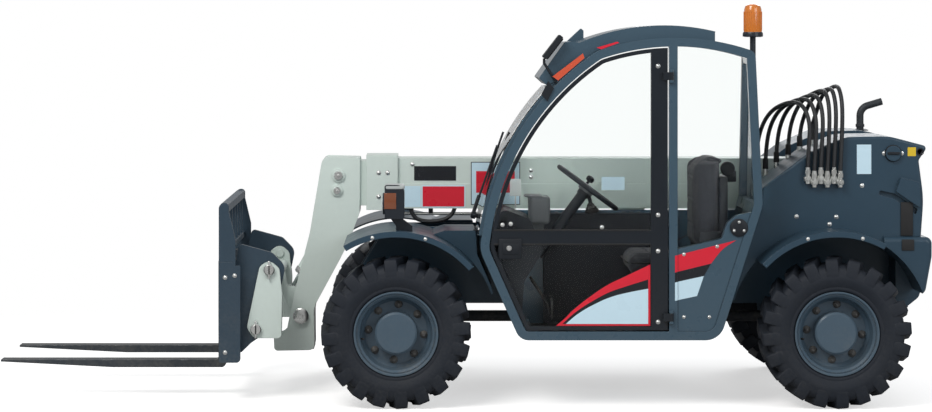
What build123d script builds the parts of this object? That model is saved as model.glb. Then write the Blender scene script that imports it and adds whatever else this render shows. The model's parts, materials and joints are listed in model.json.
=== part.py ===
"""A compact telescopic handler: rigid chassis, four steered wheels, left-hand cab, low engine pod on the right,
two-section boom with a swan-neck head, tilting coupler, fork carriage and two forks.

Millimetres. X points forward, Y to the machine's left and Z up. Everything is drawn about the front axle's centre
on the ground and is moved at the end, so that the origin lies on the ground in the middle of the machine's box.
"""

from build123d import *
import math
import os

os.makedirs("parts", exist_ok=True)

# ------------------------------------------------------------------ driving sizes
WHEELBASE = 2250
FORK_REACH = 2095  # fork tip ahead of the front axle
REAR_OVERHANG = 546  # counterweight behind the rear axle
HALF_WIDTH = 900  # outer face of the tyres
ORIGIN_AHEAD = (FORK_REACH - WHEELBASE - REAR_OVERHANG) / 2  # middle of the box, from the front axle
REAR_X = -WHEELBASE

# wheels
TYRE_RADIUS = 386  # to the lugs' corners
TYRE_WIDTH = 264
RIM_RADIUS = 216
HUB_CAP = 108  # radius of the hub cap
HUB_FACE = 96  # its face and the disc's, outwards from the middle of the wheel
DISC_FACE = 16
LUG_DEPTH = 34
LUGS_PER_ROW = 20
LUG_SHARE = 0.5  # of the pitch, at the tips
WHEEL_Y = HALF_WIDTH - TYRE_WIDTH / 2
AXLE_Z = TYRE_RADIUS * math.cos(math.pi * LUG_SHARE / LUGS_PER_ROW)
KINGPIN_Y = WHEEL_Y - 168
STEER_CLEAR = 515  # radius of the wheel arches about the axle

# chassis spine and boom pivot
SPINE_IN = 145  # inner faces of the two main plates
SPINE_PLATE = 20
SPINE_OUT = SPINE_IN + SPINE_PLATE
SPINE_LOW = 470
SPINE_TOP = 880
PIVOT_X = -2330
PIVOT_Z = 1130
PIN_R = 35

# boom
BOOM_HALF = 120
BOOM_LOW = 975
BOOM_TOP = 1245
BOOM_WALL = 10
BOOM_FRONT = 167
BOOM_REAR = -2450
SLIDE_GAP = 5
INNER_HALF = BOOM_HALF - BOOM_WALL - SLIDE_GAP
INNER_LOW = BOOM_LOW + BOOM_WALL + SLIDE_GAP
INNER_TOP = BOOM_TOP - BOOM_WALL - SLIDE_GAP
INNER_FRONT = 396
EXTENSION = 1700

SEAT = 0.3  # gap at a seat, between a piece and what carries it

# cab
FLOOR_LOW = 351
CAB_OUT = 870
CAB_IN = 190
RAIL = 45  # width of the cab's tubes in side view
TUBE = 40  # width of the cab's tubes across the machine
PANEL = 6
GLASS = 6
DOOR_GAP = 6
WAIST_LOW = 842
WAIST_HIGH = 913
B_POST_FRONT = -1394
B_POST_REAR = -1438
HINGE_X = -1405

# rear body
BODY_OUT = 620
BODY_IN = SPINE_OUT + 20
FENDER_OUT = 888


# ------------------------------------------------------------------ drawing helpers
def side_plane(y):
    """A plane seen from the machine's right: its x is X, its y is Z, and it extrudes towards -Y."""
    return Plane(origin=(0, y, 0), x_dir=(1, 0, 0), z_dir=(0, -1, 0))


def slab(face, y_low, y_high):
    """A side-view face given thickness across the machine."""
    return extrude(side_plane(y_high) * face, amount=y_high - y_low)


def outline(points, radii=0):
    """A side-view face from (x, z) corners, each rounded by its own radius or by one for all."""
    face = make_face(Polyline(*points, close=True))
    if isinstance(radii, (int, float)):
        radii = [radii] * len(points)
    for point, radius in zip(points, radii):
        if radius:
            near = min(face.vertices(), key=lambda v: (v.X - point[0]) ** 2 + (v.Y - point[1]) ** 2)
            face = fillet(near, radius)
    return face


def block(x_low, x_high, y_low, y_high, z_low, z_high):
    size = (x_high - x_low, y_high - y_low, z_high - z_low)
    middle = ((x_low + x_high) / 2, (y_low + y_high) / 2, (z_low + z_high) / 2)
    return Pos(*middle) * Box(*size)


def bar_y(x, z, radius, y_low, y_high):
    """A round bar across the machine."""
    return Pos(x, (y_low + y_high) / 2, z) * Rot(90, 0, 0) * Cylinder(radius, y_high - y_low)


def bar_z(x, y, radius, z_low, z_high):
    return Pos(x, y, (z_low + z_high) / 2) * Cylinder(radius, z_high - z_low)


def rod(start, end, radius):
    """A round bar from one point to another."""
    start, end = Vector(*start), Vector(*end)
    return extrude(Plane(origin=start, z_dir=end - start) * Circle(radius), amount=(end - start).length)


def mirrored(shape):
    return mirror(shape, about=Plane.XZ)


def both(shape):
    """The shape and its twin on the other side of the machine."""
    return shape + mirrored(shape)


def save(node, *shapes):
    """Write one node, moved so that the origin lies in the middle of the machine's box."""
    solids = [solid for shape in shapes for solid in shape.solids()]
    moved = [Pos(-ORIGIN_AHEAD, 0, 0) * solid for solid in solids]
    export_step(moved[0] if len(moved) == 1 else Compound(children=moved), f"parts/{node}.step")


# ------------------------------------------------------------------ wheels
WHEELS = [  # name, x of the axle, side (+1 left)
    ("fl", 0, 1),
    ("fr", 0, -1),
    ("rl", REAR_X, 1),
    ("rr", REAR_X, -1),
]


def about_axle(shape, axle_x, side, y):
    """Turn a piece drawn round Z, outer face up, on to the wheel's axle at distance y from the middle."""
    return Pos(axle_x, side * y, AXLE_Z) * Rot(-90 * side, 0, 0) * shape


def lug_row(phase, z_low, z_high):
    """Half of the tread: a ring of square-shouldered lugs, cut straight across."""
    pitch = 360 / LUGS_PER_ROW
    root = TYRE_RADIUS - LUG_DEPTH
    corners = []
    for i in range(LUGS_PER_ROW):
        middle = (i + phase) * pitch
        for turn, radius in (
            (-0.62 * LUG_SHARE, root),
            (-0.5 * LUG_SHARE, TYRE_RADIUS),
            (0.5 * LUG_SHARE, TYRE_RADIUS),
            (0.62 * LUG_SHARE, root),
        ):
            angle = math.radians(middle + turn * pitch)
            corners.append((radius * math.cos(angle), radius * math.sin(angle)))
    return Pos(0, 0, z_low) * extrude(make_face(Polyline(*corners, close=True)), amount=z_high - z_low)


def tyre():
    half = TYRE_WIDTH / 2
    tread_half = half - 12
    shoulder = TYRE_RADIUS - LUG_DEPTH - 16
    carcass = revolve(
        Plane.XZ
        * make_face(
            Polyline(
                (RIM_RADIUS - 18, -half + 30),
                (shoulder, -tread_half),
                (shoulder, tread_half),
                (shoulder - 36, half),
                (RIM_RADIUS - 18, half - 22),
                close=True,
            )
        ),
        Axis.Z,
    )
    bore = Cylinder(RIM_RADIUS - 18, TYRE_WIDTH * 2)
    tread = lug_row(0.25, 0, tread_half) + lug_row(0.75, -tread_half, 0)
    tread -= Cylinder(shoulder - 1, TYRE_WIDTH * 2)
    return tread + carcass - bore


def rim():
    """Dished disc, well and flange as one turned piece, with the hub cap."""
    half = TYRE_WIDTH / 2
    seat = RIM_RADIUS - 18
    profile = Polyline(
        (0, HUB_FACE),
        (HUB_CAP - 10, HUB_FACE),
        (HUB_CAP, HUB_FACE - 8),
        (HUB_CAP, DISC_FACE),
        (160, DISC_FACE),
        (178, 34),
        (186, half - 34),
        (RIM_RADIUS - 8, half - 11),
        (RIM_RADIUS, half - 11),
        (RIM_RADIUS, half - 18),
        (seat, half - 18),
        (seat, -half + 26),
        (RIM_RADIUS, -half + 26),
        (RIM_RADIUS, -half + 19),
        (186, -half + 19),
        (176, 20),
        (168, 14),
        (154, 0),
        (0, 0),
        close=True,
    )
    return revolve(Plane.XZ * make_face(profile), Axis.Z)


TYRE = tyre()
RIM = rim()
for name, axle_x, side in WHEELS:
    save(f"tyre_{name}", about_axle(TYRE, axle_x, side, WHEEL_Y))
    save(f"rim_{name}", about_axle(RIM, axle_x, side, WHEEL_Y))

# ------------------------------------------------------------------ axles, knuckles, shafts
YOKE_REACH = 78  # half height between the kingpin's ears
EAR = 26
NOSE_REACH = 235  # of the differential's nose from the axle
KING_R = 24


def knuckle():
    """Drawn round Z like a wheel: hub flange that carries the disc, final-drive housing and two kingpin bosses."""
    inner = KINGPIN_Y - WHEEL_Y
    housing = Pos(0, 0, inner / 2) * Cylinder(70, -inner)
    drum = Pos(0, 0, -30) * Cylinder(105, 59)
    return housing + drum


def axle(axle_x):
    """Beam with a differential in the middle, necks, and a yoke round each kingpin."""
    body = bar_y(axle_x, AXLE_Z, 62, -KINGPIN_Y + 118, KINGPIN_Y - 118)
    differential = Pos(axle_x, 0, AXLE_Z) * Sphere(150)
    differential = differential & block(axle_x - 200, axle_x + 200, -120, 120, AXLE_Z - 140, AXLE_Z + 150)
    nose_way = 1 if axle_x < REAR_X / 2 else -1
    nose = rod((axle_x, 0, AXLE_Z), (axle_x + nose_way * NOSE_REACH, 0, AXLE_Z), 58)
    beam = body + differential + nose
    for side in (1, -1):
        y_ear, y_back = side * KINGPIN_Y, side * (KINGPIN_Y - 130)
        low, high = min(y_ear + side * 34, y_back), max(y_ear + side * 34, y_back)
        cheek = block(axle_x - 42, axle_x + 42, low, high, AXLE_Z - YOKE_REACH - EAR, AXLE_Z + YOKE_REACH + EAR)
        mouth_low = min(side * (KINGPIN_Y - 90), side * (KINGPIN_Y + 60))
        mouth = block(
            axle_x - 60, axle_x + 60, mouth_low, mouth_low + 150, AXLE_Z - YOKE_REACH, AXLE_Z + YOKE_REACH
        )
        beam += cheek - mouth
        saddle_y = side * (SPINE_IN + SPINE_PLATE / 2)
        beam += block(axle_x - 70, axle_x + 70, saddle_y - 45, saddle_y + 45, AXLE_Z, SPINE_LOW)
    return beam


save("front_axle", axle(0))
save("rear_axle", axle(REAR_X))
KNUCKLE = knuckle()
for name, axle_x, side in WHEELS:
    hub = about_axle(KNUCKLE, axle_x, side, WHEEL_Y)
    king = bar_z(axle_x, side * KINGPIN_Y, 46, AXLE_Z - YOKE_REACH + 0.5, AXLE_Z + YOKE_REACH - 0.5)
    save(f"knuckle_{name}", hub + king)

TRANSFER_FRONT, TRANSFER_REAR = -980, -1300
shaft_front = rod((-NOSE_REACH - SEAT, 0, AXLE_Z), (TRANSFER_FRONT + SEAT, 0, AXLE_Z), 30)
shaft_rear = rod((REAR_X + NOSE_REACH + SEAT, 0, AXLE_Z), (TRANSFER_REAR - SEAT, 0, AXLE_Z), 30)
save("drive_shafts", shaft_front, shaft_rear)
gearbox = block(TRANSFER_REAR, TRANSFER_FRONT, -SPINE_IN + SEAT, SPINE_IN - SEAT, FLOOR_LOW, SPINE_TOP - 160)
save("gearbox", gearbox)

# ------------------------------------------------------------------ chassis
TOWER_FRONT, TOWER_REAR = -2130, -2530
TOWER_TOP = 1290
SPINE_FRONT, SPINE_REAR = 210, -2640
OUTRIGGER_TOP = FLOOR_LOW - SEAT
OUTRIGGER_TIP = 700  # how far they reach from the middle
HOOD_FRONT = -2580  # front of the hood behind the tower
LIFT_BASE = (-2070, 540)  # lift cylinder's pin in the chassis
LIFT_EYE = (-1250, 868)  # its rod's pin under the boom
spine_face = outline(
    [
        (SPINE_FRONT, SPINE_LOW),
        (SPINE_FRONT, 640),
        (60, SPINE_TOP),
        (-1900, SPINE_TOP),
        (TOWER_FRONT, 1060),
        (TOWER_FRONT - 60, TOWER_TOP),
        (TOWER_REAR + 60, TOWER_TOP),
        (TOWER_REAR, 1060),
        (HOOD_FRONT + 14, SPINE_TOP),
        (SPINE_REAR, SPINE_TOP),
        (SPINE_REAR, SPINE_LOW),
    ],
    [40, 60, 90, 120, 80, 60, 60, 60, 30, 30, 40],
)
plate = slab(spine_face, SPINE_IN, SPINE_OUT)
plate -= bar_y(PIVOT_X, PIVOT_Z, PIN_R, 0, SPINE_OUT * 2)
chassis = both(plate)
for x_low, x_high, z_low, z_high in (
    (SPINE_FRONT - 60, SPINE_FRONT - 30, SPINE_LOW + 20, 620),
    (-420, -396, SPINE_LOW + 80, SPINE_TOP - 20),
    (-2250, -2226, SPINE_LOW + 150, 800),
    (-2600, -2576, SPINE_LOW + 20, 880),
):
    chassis += block(x_low, x_high, -SPINE_IN - 5, SPINE_IN + 5, z_low, z_high)
for x_middle in (-760, -1500):  # outriggers that carry the cab on the left and the engine pod on the right
    arm_face = make_face(
        Polyline(
            (SPINE_OUT - 5, OUTRIGGER_TOP - 60),
            (340, OUTRIGGER_TOP - 60),
            (OUTRIGGER_TIP, OUTRIGGER_TOP - 16),
            (OUTRIGGER_TIP, OUTRIGGER_TOP),
            (SPINE_OUT - 5, OUTRIGGER_TOP),
            close=True,
        )
    )
    arm = extrude(Plane(origin=(x_middle - 40, 0, 0), x_dir=(0, 1, 0), z_dir=(1, 0, 0)) * arm_face, amount=80)
    knee = block(x_middle - 40, x_middle + 40, SPINE_OUT - 5, CAB_IN - 5, OUTRIGGER_TOP - 60, SPINE_LOW + 60)
    drop = block(x_middle - 40, x_middle + 40, SPINE_IN, SPINE_OUT, OUTRIGGER_TOP - 60, SPINE_LOW + 60)
    chassis += both(arm + knee + drop)
# the lift cylinder's pin across the spine
chassis += bar_y(*LIFT_BASE, 26, -SPINE_IN - 5, SPINE_IN + 5)
LID_HINGE = (-SPINE_OUT - 33, SPINE_TOP - 8)  # y and z
LID_HINGE_PIN = 7
LID_HINGES = (-760, -1460)
for x in LID_HINGES:
    for x_low in (x - 44, x + 32):
        ear = block(x_low, x_low + 12, -SPINE_OUT - 33, -SPINE_OUT + 5, LID_HINGE[1] - 10, LID_HINGE[1] + 8)
        chassis += ear + rod((x_low, *LID_HINGE), (x_low + 12, *LID_HINGE), 10)
    chassis += rod((x - 40, *LID_HINGE), (x + 40, *LID_HINGE), LID_HINGE_PIN)
save("chassis_frame", chassis)


# ------------------------------------------------------------------ front fenders, cowl and lamps
def arch_band(axle_x, r_low, r_high, from_deg, to_deg):
    """A side-view face between two arcs about an axle, angles from straight ahead, upwards."""
    ring = Circle(r_high) - Circle(r_low)
    reach = r_high * 1.6
    middle = (from_deg + to_deg) / 2
    corners = [(0, 0)] + [
        (reach * math.cos(math.radians(a)), reach * math.sin(math.radians(a))) for a in (from_deg, middle, to_deg)
    ]
    return Pos(axle_x, AXLE_Z) * (ring & make_face(Polyline(*corners, close=True)))


ARCH_OUT = STEER_CLEAR + 8
LIP_LOW = STEER_CLEAR - 22
FENDER_FROM, FENDER_TO = 59, 139
FENDER_TOP = AXLE_Z + ARCH_OUT
fender = slab(arch_band(0, STEER_CLEAR, ARCH_OUT, FENDER_FROM, FENDER_TO), SPINE_OUT + SEAT, FENDER_OUT)
fender += slab(arch_band(0, LIP_LOW, ARCH_OUT, FENDER_FROM, FENDER_TO), FENDER_OUT - 8, FENDER_OUT)
save("front_fenders", fender, mirrored(fender))

COWL_OUT = 620
cowl_face = outline(
    [(-150, 700), (-150, 860), (-250, 893), (-412, 893), (-420, 770), (-494, 600), (-506, 560), (-300, 560)],
    [0, 0, 20, 12, 0, 0, 12, 0],
)
cowl = slab(cowl_face, SPINE_OUT + SEAT, COWL_OUT) - bar_y(0, AXLE_Z, ARCH_OUT + SEAT, 0, FENDER_OUT * 2)
save("front_cowls", cowl, mirrored(cowl))

LAMP_Y = FENDER_OUT - 88
LAMP_LOW, LAMP_HIGH = 970, 1144
lamp_face = outline([(-43, LAMP_LOW), (-43, LAMP_HIGH), (58, LAMP_HIGH), (58, LAMP_LOW)], [6, 40, 12, 6])
lamp = slab(lamp_face, LAMP_Y - 65, LAMP_Y + 65)
stalk_face = outline(
    [(-84, FENDER_TOP - 40), (-84, 930), (-30, LAMP_LOW), (30, LAMP_LOW), (0, 930), (0, FENDER_TOP - 40)]
)
stalk = slab(stalk_face, LAMP_Y - 4, LAMP_Y + 4) - bar_y(0, AXLE_Z, ARCH_OUT + SEAT, 0, FENDER_OUT * 2)
lamp += stalk
save("front_lamps", lamp, mirrored(lamp))

# ------------------------------------------------------------------ rear body, counterweight, tow hitch
BODY_TOP = 1380
WEIGHT_TOP = 862
REAR_LINE = [(-2764, 1330), (-2716, 1258), (-2742, 1060)]  # nose over the grille, and the rear face
rear_arch = bar_y(REAR_X, AXLE_Z, STEER_CLEAR, -HALF_WIDTH * 2, HALF_WIDTH * 2)
body_face = outline(
    [
        (-1740, 530),
        (-1824, 814),
        (-1888, 1000),
        (-1900, 1114),
        (-2146, 1299),
        (-2337, BODY_TOP),
        (-2560, BODY_TOP + 4),
        *REAR_LINE,
        (-2728, WEIGHT_TOP + SEAT),
        (SPINE_REAR, WEIGHT_TOP + SEAT),
        (SPINE_REAR, 530),
    ],
    [0, 0, 60, 30, 120, 160, 300, 18, 30, 600, 0, 0, 0],
)
rear_body = slab(body_face, BODY_IN, BODY_OUT) - rear_arch
rear_body = fillet(
    rear_body.edges().filter_by(lambda e: abs(e.center().Y - BODY_OUT) < 1 and e.center().Z > 1345), 14
)
scoop = outline([(-2618, 1171), (-2717, 1144), (-2722, 1010), (-2594, 1096)], 6)
scoop_slot = outline(
    [(-2512, 1102), (-2594, 1084), (-2710, 1004), (-2700, 976), (-2588, 1058), (-2508, 1080)], 6
)
rear_body += slab(scoop, BODY_OUT - 1, BODY_OUT + 22)
rear_body -= slab(scoop_slot, BODY_OUT - 22, BODY_OUT + 1)
filler_cap = bar_y(-2581, 1295, 40, BODY_OUT - 1, BODY_OUT + 18)
save("rear_body_left", rear_body + filler_cap)
save("rear_body_right", mirrored(rear_body))

REAR_FENDER_FROM, REAR_FENDER_TO = 43, 119
brow = slab(arch_band(REAR_X, STEER_CLEAR, ARCH_OUT, REAR_FENDER_FROM, REAR_FENDER_TO), BODY_OUT + SEAT, FENDER_OUT)
brow += slab(arch_band(REAR_X, LIP_LOW, ARCH_OUT, REAR_FENDER_FROM, REAR_FENDER_TO), FENDER_OUT - 8, FENDER_OUT)
save("rear_fenders", brow, mirrored(brow))

WEIGHT_LOW = 470
WEIGHT_OUT = 655
CORE_OUT = 360  # half width of its lower part, between the wheels
weight_face = outline(
    [
        (SPINE_REAR - SEAT, 560),
        (-2744, 560),
        (-2780, 760),
        (-2780, WEIGHT_TOP),
        (SPINE_REAR - SEAT, WEIGHT_TOP),
    ],
    [0, 40, 100, 36, 0],
)
core_face = outline(
    [
        (SPINE_REAR - SEAT, WEIGHT_LOW),
        (-2700, WEIGHT_LOW),
        (-2762, 520),
        (REAR_X - REAR_OVERHANG, 620),
        (REAR_X - REAR_OVERHANG, 700),
        (SPINE_REAR - SEAT, 760),
    ],
    [0, 40, 40, 60, 30, 0],
)
weight = slab(weight_face, -WEIGHT_OUT, WEIGHT_OUT)
weight += both(block(SPINE_REAR - 1, -2530, BODY_OUT + SEAT, WEIGHT_OUT, 600, WEIGHT_TOP))
weight -= both(bar_y(REAR_X, AXLE_Z, STEER_CLEAR, CORE_OUT, HALF_WIDTH))
weight = fillet(
    weight.edges()
    .filter_by(Axis.X)
    .filter_by(lambda e: abs(abs(e.center().Y) - WEIGHT_OUT) < 1 and e.center().Z > WEIGHT_TOP - 1),
    26,
)
weight += slab(core_face, -CORE_OUT, CORE_OUT)
save("counterweight", weight)

hood_face = outline(
    [
        (HOOD_FRONT, WEIGHT_TOP + 40),
        (HOOD_FRONT, BODY_TOP - 3),
        *REAR_LINE,
        (-2728, WEIGHT_TOP + 40),
    ],
    [0, 30, 18, 30, 0, 0],
)
rear_hood = slab(hood_face, -BODY_IN + SEAT, BODY_IN - SEAT)
GRILLE_LOW, GRILLE_PITCH, GRILLE_SLOT = 960, 40, 14
for i in range(6):
    z_low = GRILLE_LOW + i * GRILLE_PITCH
    rear_hood -= block(-2800, -2722, -130, 130, z_low, z_low + GRILLE_SLOT)
save("rear_hood", rear_hood)

hitch_top = WEIGHT_LOW - SEAT
hitch_plan = outline(
    [(SPINE_REAR - 1, 396), (SPINE_REAR - 1, hitch_top), (-2696, hitch_top), (-2762, 452), (-2762, 396)],
    [0, 0, 0, 10, 20],
)
jaw = slab(hitch_plan, -55, 55)
jaw -= block(-2800, -2690, -60, 60, 412, 436)
jaw -= bar_z(-2728, 0, 16, 300, 500)
save("tow_hitch", jaw)

# ------------------------------------------------------------------ exhaust
EXHAUST = (-2594, -500, BODY_TOP - 30)  # foot of the pipe
exhaust_path = FilletPolyline(EXHAUST, (-2594, -500, 1500), (-2716, -500, 1536), radius=60)
pipe = sweep(Plane(origin=EXHAUST, z_dir=(0, 0, 1)) * Circle(20), path=exhaust_path)
pipe -= slab(offset(body_face, amount=SEAT), -BODY_OUT, -BODY_IN)
save("exhaust", pipe)

# ------------------------------------------------------------------ engine pod on the right
POD_FRONT, POD_REAR = -480, -1880
POD_SPLIT = 700
HOOD_TOP = 880
POD_WALL = 6
pod_face = outline(
    [(-640, FLOOR_LOW), (POD_FRONT - 40, 560), (POD_FRONT, POD_SPLIT), (-1776, POD_SPLIT), (-1700, FLOOR_LOW)],
    [60, 40, 0, 0, 60],
)
pod = slab(pod_face, -CAB_OUT, -CAB_IN) - slab(offset(pod_face, amount=-POD_WALL), -CAB_OUT + POD_WALL, -CAB_IN - POD_WALL)
pod -= block(-1770, POD_FRONT - 8, -CAB_OUT + POD_WALL, -CAB_IN - POD_WALL, POD_SPLIT - 20, POD_SPLIT + 20)
save("engine_pod", pod)

lid_face = outline(
    [
        (POD_FRONT, POD_SPLIT + 5),
        (POD_FRONT - 4, 800),
        (POD_FRONT - 60, HOOD_TOP),
        (-1730, HOOD_TOP),
        (-1800, 810),
        (-1776, POD_SPLIT + 5),
    ],
    [0, 40, 60, 60, 40, 0],
)
LID_IN, LID_OUT = -CAB_IN - 24, -CAB_OUT
LID_ROUND = 60


def rounded_lid(face, y_low, y_high, radius):
    """A side-view face given width, its outer top edge rounded."""
    body = slab(face, y_low, y_high)
    top = [e for e in body.edges().filter_by(Axis.X) if abs(e.center().Y - y_low) < 0.1]
    return fillet(max(top, key=lambda e: e.center().Z), radius)


lid = rounded_lid(lid_face, LID_OUT, LID_IN, LID_ROUND)
lid_inside = offset(lid_face, amount=-POD_WALL)
lid -= rounded_lid(lid_inside, LID_OUT + POD_WALL, LID_IN - POD_WALL, LID_ROUND - POD_WALL)
lid -= block(
    -1765, POD_FRONT - 12, LID_OUT + POD_WALL, LID_IN - POD_WALL, POD_SPLIT - 20, POD_SPLIT + 30
)
for x in LID_HINGES:
    lid += rod((x - 31, *LID_HINGE), (x + 31, *LID_HINGE), 14) - slab(lid_inside, LID_OUT, LID_IN - 1)
    lid += block(x - 31, x + 31, LID_IN - 2, LID_HINGE[0], LID_HINGE[1] - 12, LID_HINGE[1])
    lid -= rod((x - 32, *LID_HINGE), (x + 32, *LID_HINGE), LID_HINGE_PIN + SEAT)
LOUVRE_LOW, LOUVRE_PITCH = 730, 22
for i in range(4):
    z_low = LOUVRE_LOW + i * LOUVRE_PITCH
    lid += block(-1500, -900, LID_OUT - 8, LID_OUT + 1, z_low, z_low + 9)
save("engine_hood", lid)

LID_SWEEP = math.hypot(LID_IN - POD_WALL - LID_HINGE[0], LID_HINGE[1] - POD_SPLIT)  # of the lid's inner wall
ENGINE_IN = LID_HINGE[0] - LID_SWEEP - 12
ENGINE_OUT = -CAB_OUT + 100
save("engine_block", block(-1560, -800, ENGINE_OUT, ENGINE_IN, FLOOR_LOW + POD_WALL + SEAT, 830))

# ------------------------------------------------------------------ cab
REAR_TOP = -1835  # of the left side
LEAN = 55  # how much further back the right side's rear top lies
CAB_ROUNDING = (70, 150, 0, 150, 40, 120, 100)


def cab_outline(rear_top):
    """The cab's side profile, its corners rounded."""
    corners = [
        (-633, FLOOR_LOW), (-427, 812), (-438, 880), (-1028, 1829), (rear_top, 1824), (-1873, 1040), (-1653, FLOOR_LOW)
    ]
    face = make_face(
        [
            Line(corners[0], corners[1]),
            Line(corners[1], corners[2]),
            ThreePointArc(corners[2], (-630, 1418), corners[3]),
            ThreePointArc(corners[3], (-1431, 1896), corners[4]),
            Line(corners[4], corners[5]),
            Line(corners[5], corners[6]),
            Line(corners[6], corners[0]),
        ]
    )
    for corner, radius in zip(corners, CAB_ROUNDING):
        if radius:
            near = min(face.vertices(), key=lambda v: (v.X - corner[0]) ** 2 + (v.Y - corner[1]) ** 2)
            face = fillet(near, radius)
    return face


cab_face, cab_face_right = cab_outline(REAR_TOP), cab_outline(REAR_TOP - LEAN)
cab_clear, clear_right = offset(cab_face, amount=-RAIL), offset(cab_face_right, amount=-RAIL)
ring, ring_right = cab_face - cab_clear, cab_face_right - clear_right
TUBES_IN, TUBES_OUT = CAB_IN + TUBE, CAB_OUT - TUBE


def within(face, x_low, x_high, z_low, z_high):
    """The stretch of a side-view face inside a rectangle."""
    return face & Pos((x_low + x_high) / 2, (z_low + z_high) / 2) * Rectangle(x_high - x_low, z_high - z_low)


def skewed(face):
    """A side-view face drawn across the cab, from the left side to the right one's rear top."""
    way = Vector(-LEAN, CAB_IN - CAB_OUT, 0)
    return extrude(side_plane(CAB_OUT) * face, amount=way.length, dir=way)


post = within(cab_face, B_POST_REAR, B_POST_FRONT, 0, 3000)
cab_frame = slab(ring, TUBES_OUT, CAB_OUT) + slab(ring_right, CAB_IN, TUBES_IN) + slab(post, TUBES_OUT, CAB_OUT)
HEADER_INSET = 2  # of the rear header's faces from the tubes'
header = offset(cab_face, amount=-HEADER_INSET) - offset(cab_face, amount=HEADER_INSET - RAIL)
header = skewed(within(header, -1900, -1770, 1760, 1900))
cab_frame += header & block(-2000, -1700, TUBES_IN - 6, TUBES_OUT + 6, 1700, 1900)
for x_low, x_high, z_low, z_high in (  # cross members: sill, nose, front header, rear waist, rear sill
    (-700, -560, 300, 440),
    (-460, -400, 800, 890),
    (-1090, -990, 1700, 1900),
    (-1900, -1780, 1000, 1050),
    (-1720, -1600, 300, 420),
):
    cab_frame += slab(within(ring, x_low, x_high, z_low, z_high), CAB_IN, CAB_OUT)
# the seal that carries the windscreen in front of the tubes
SCREEN_SEAL = 16
SCREEN_LOW, SCREEN_TOP = 885, 1640
seal_face = offset(cab_face, amount=SCREEN_SEAL) - cab_face
seal_side = within(seal_face, -1100, -400, SCREEN_LOW, SCREEN_TOP)
cab_frame += slab(seal_side, TUBES_OUT, CAB_OUT - 18) + slab(seal_side, CAB_IN + 18, TUBES_IN)
cab_frame += slab(within(seal_face, -1100, -400, SCREEN_LOW, SCREEN_LOW + 12), TUBES_IN, TUBES_OUT)
HINGE_Y = CAB_OUT + 14
HINGE_PIN = 8
HINGES = (470, 1700)  # heights of the door's hinges
KNUCKLE_HALF = 20
for z in HINGES:
    for z_low in (z - KNUCKLE_HALF - 14, z + KNUCKLE_HALF + 0.5):
        lug = bar_z(HINGE_X, HINGE_Y, 12, z_low, z_low + 13.5)
        lug += block(HINGE_X - 10, HINGE_X + 8, CAB_OUT - 5, HINGE_Y, z_low, z_low + 13.5)
        cab_frame += lug
    cab_frame += bar_z(HINGE_X, HINGE_Y, HINGE_PIN, z - KNUCKLE_HALF - 10, z + KNUCKLE_HALF + 10)
save("cab_frame", cab_frame)

skin = cab_face - offset(cab_face, amount=-PANEL)
tub = slab(within(cab_face, -1690, -600, FLOOR_LOW, FLOOR_LOW + 20), TUBES_IN, TUBES_OUT)
tub += slab(within(skin, -640, -400, FLOOR_LOW, 812), TUBES_IN, TUBES_OUT)
tub += slab(within(skin, -1900, -1600, FLOOR_LOW, 1040), TUBES_IN, TUBES_OUT)
inside = offset(cab_face, amount=-1)
SHELF_TOP = 975  # of the right wall
tub += slab(within(inside, -1900, -400, 0, SHELF_TOP), TUBES_IN, TUBES_IN + PANEL)
quarter_line = [
    (B_POST_REAR - SEAT, 300),
    (B_POST_REAR - SEAT, 817),
    (-1664, 870),
    (-1690, 950),
    (-1740, 990),
    (-1900, 1020),
    (-1900, 300),
]
quarter = outline(quarter_line, [0, 0, 20, 40, 30, 0, 0])
tub += slab(inside & quarter, TUBES_OUT - 12, TUBES_OUT)
tub += slab(cab_clear & quarter, TUBES_OUT - 2, CAB_OUT - 6)
tub -= cab_frame
save("cab_tub", tub)

roof_band = cab_face - offset(cab_face, amount=-24)
roof = slab(within(roof_band, -1768, -1092, 1700, 2000), TUBES_IN + SEAT, TUBES_OUT - SEAT)
ROOF_IN, ROOF_OUT = CAB_IN + 60, CAB_OUT - 40
CAP_FRONT, CAP_CROWN, CAP_REAR = (-927, 1857), (-1344, 1951), (-1633, 1920)
cap_line = ThreePointArc(CAP_FRONT, CAP_CROWN, CAP_REAR)
skirt = make_face([cap_line, Line(CAP_REAR, (-1633, 1700)), Line((-1633, 1700), (-927, 1700)), Line((-927, 1700), CAP_FRONT)])
HEADER_REAR = -1095  # the front header lies ahead of this
roof += slab(within(skirt, CAP_REAR[0], HEADER_REAR, 1700, 2000) - cab_face, ROOF_IN, ROOF_OUT)
near_cab = offset(cab_face, amount=SEAT)
roof += slab(within(skirt, HEADER_REAR - 1, CAP_FRONT[0], 1700, 2000) - near_cab, ROOF_IN, ROOF_OUT)
roof += slab(trace(cap_line, 16) - near_cab, ROOF_IN, ROOF_OUT)
visor_face = outline(
    [(-731, 1689), (-862, 1873), (-900, 1876), (-960, 1866), (-1095, 1904), (-1095, 1790), (-772, 1652)],
    [8, 12, 10, 0, 0, 0, 8],
)
roof += slab(visor_face - near_cab, ROOF_IN, ROOF_OUT)
stay_face = outline([(-884, 1860), (-976, 1945), (-990, 1933), (-990, 1860)], [0, 6, 6, 0])
roof += slab(stay_face, 300, 330)
save("cab_roof", roof)

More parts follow.
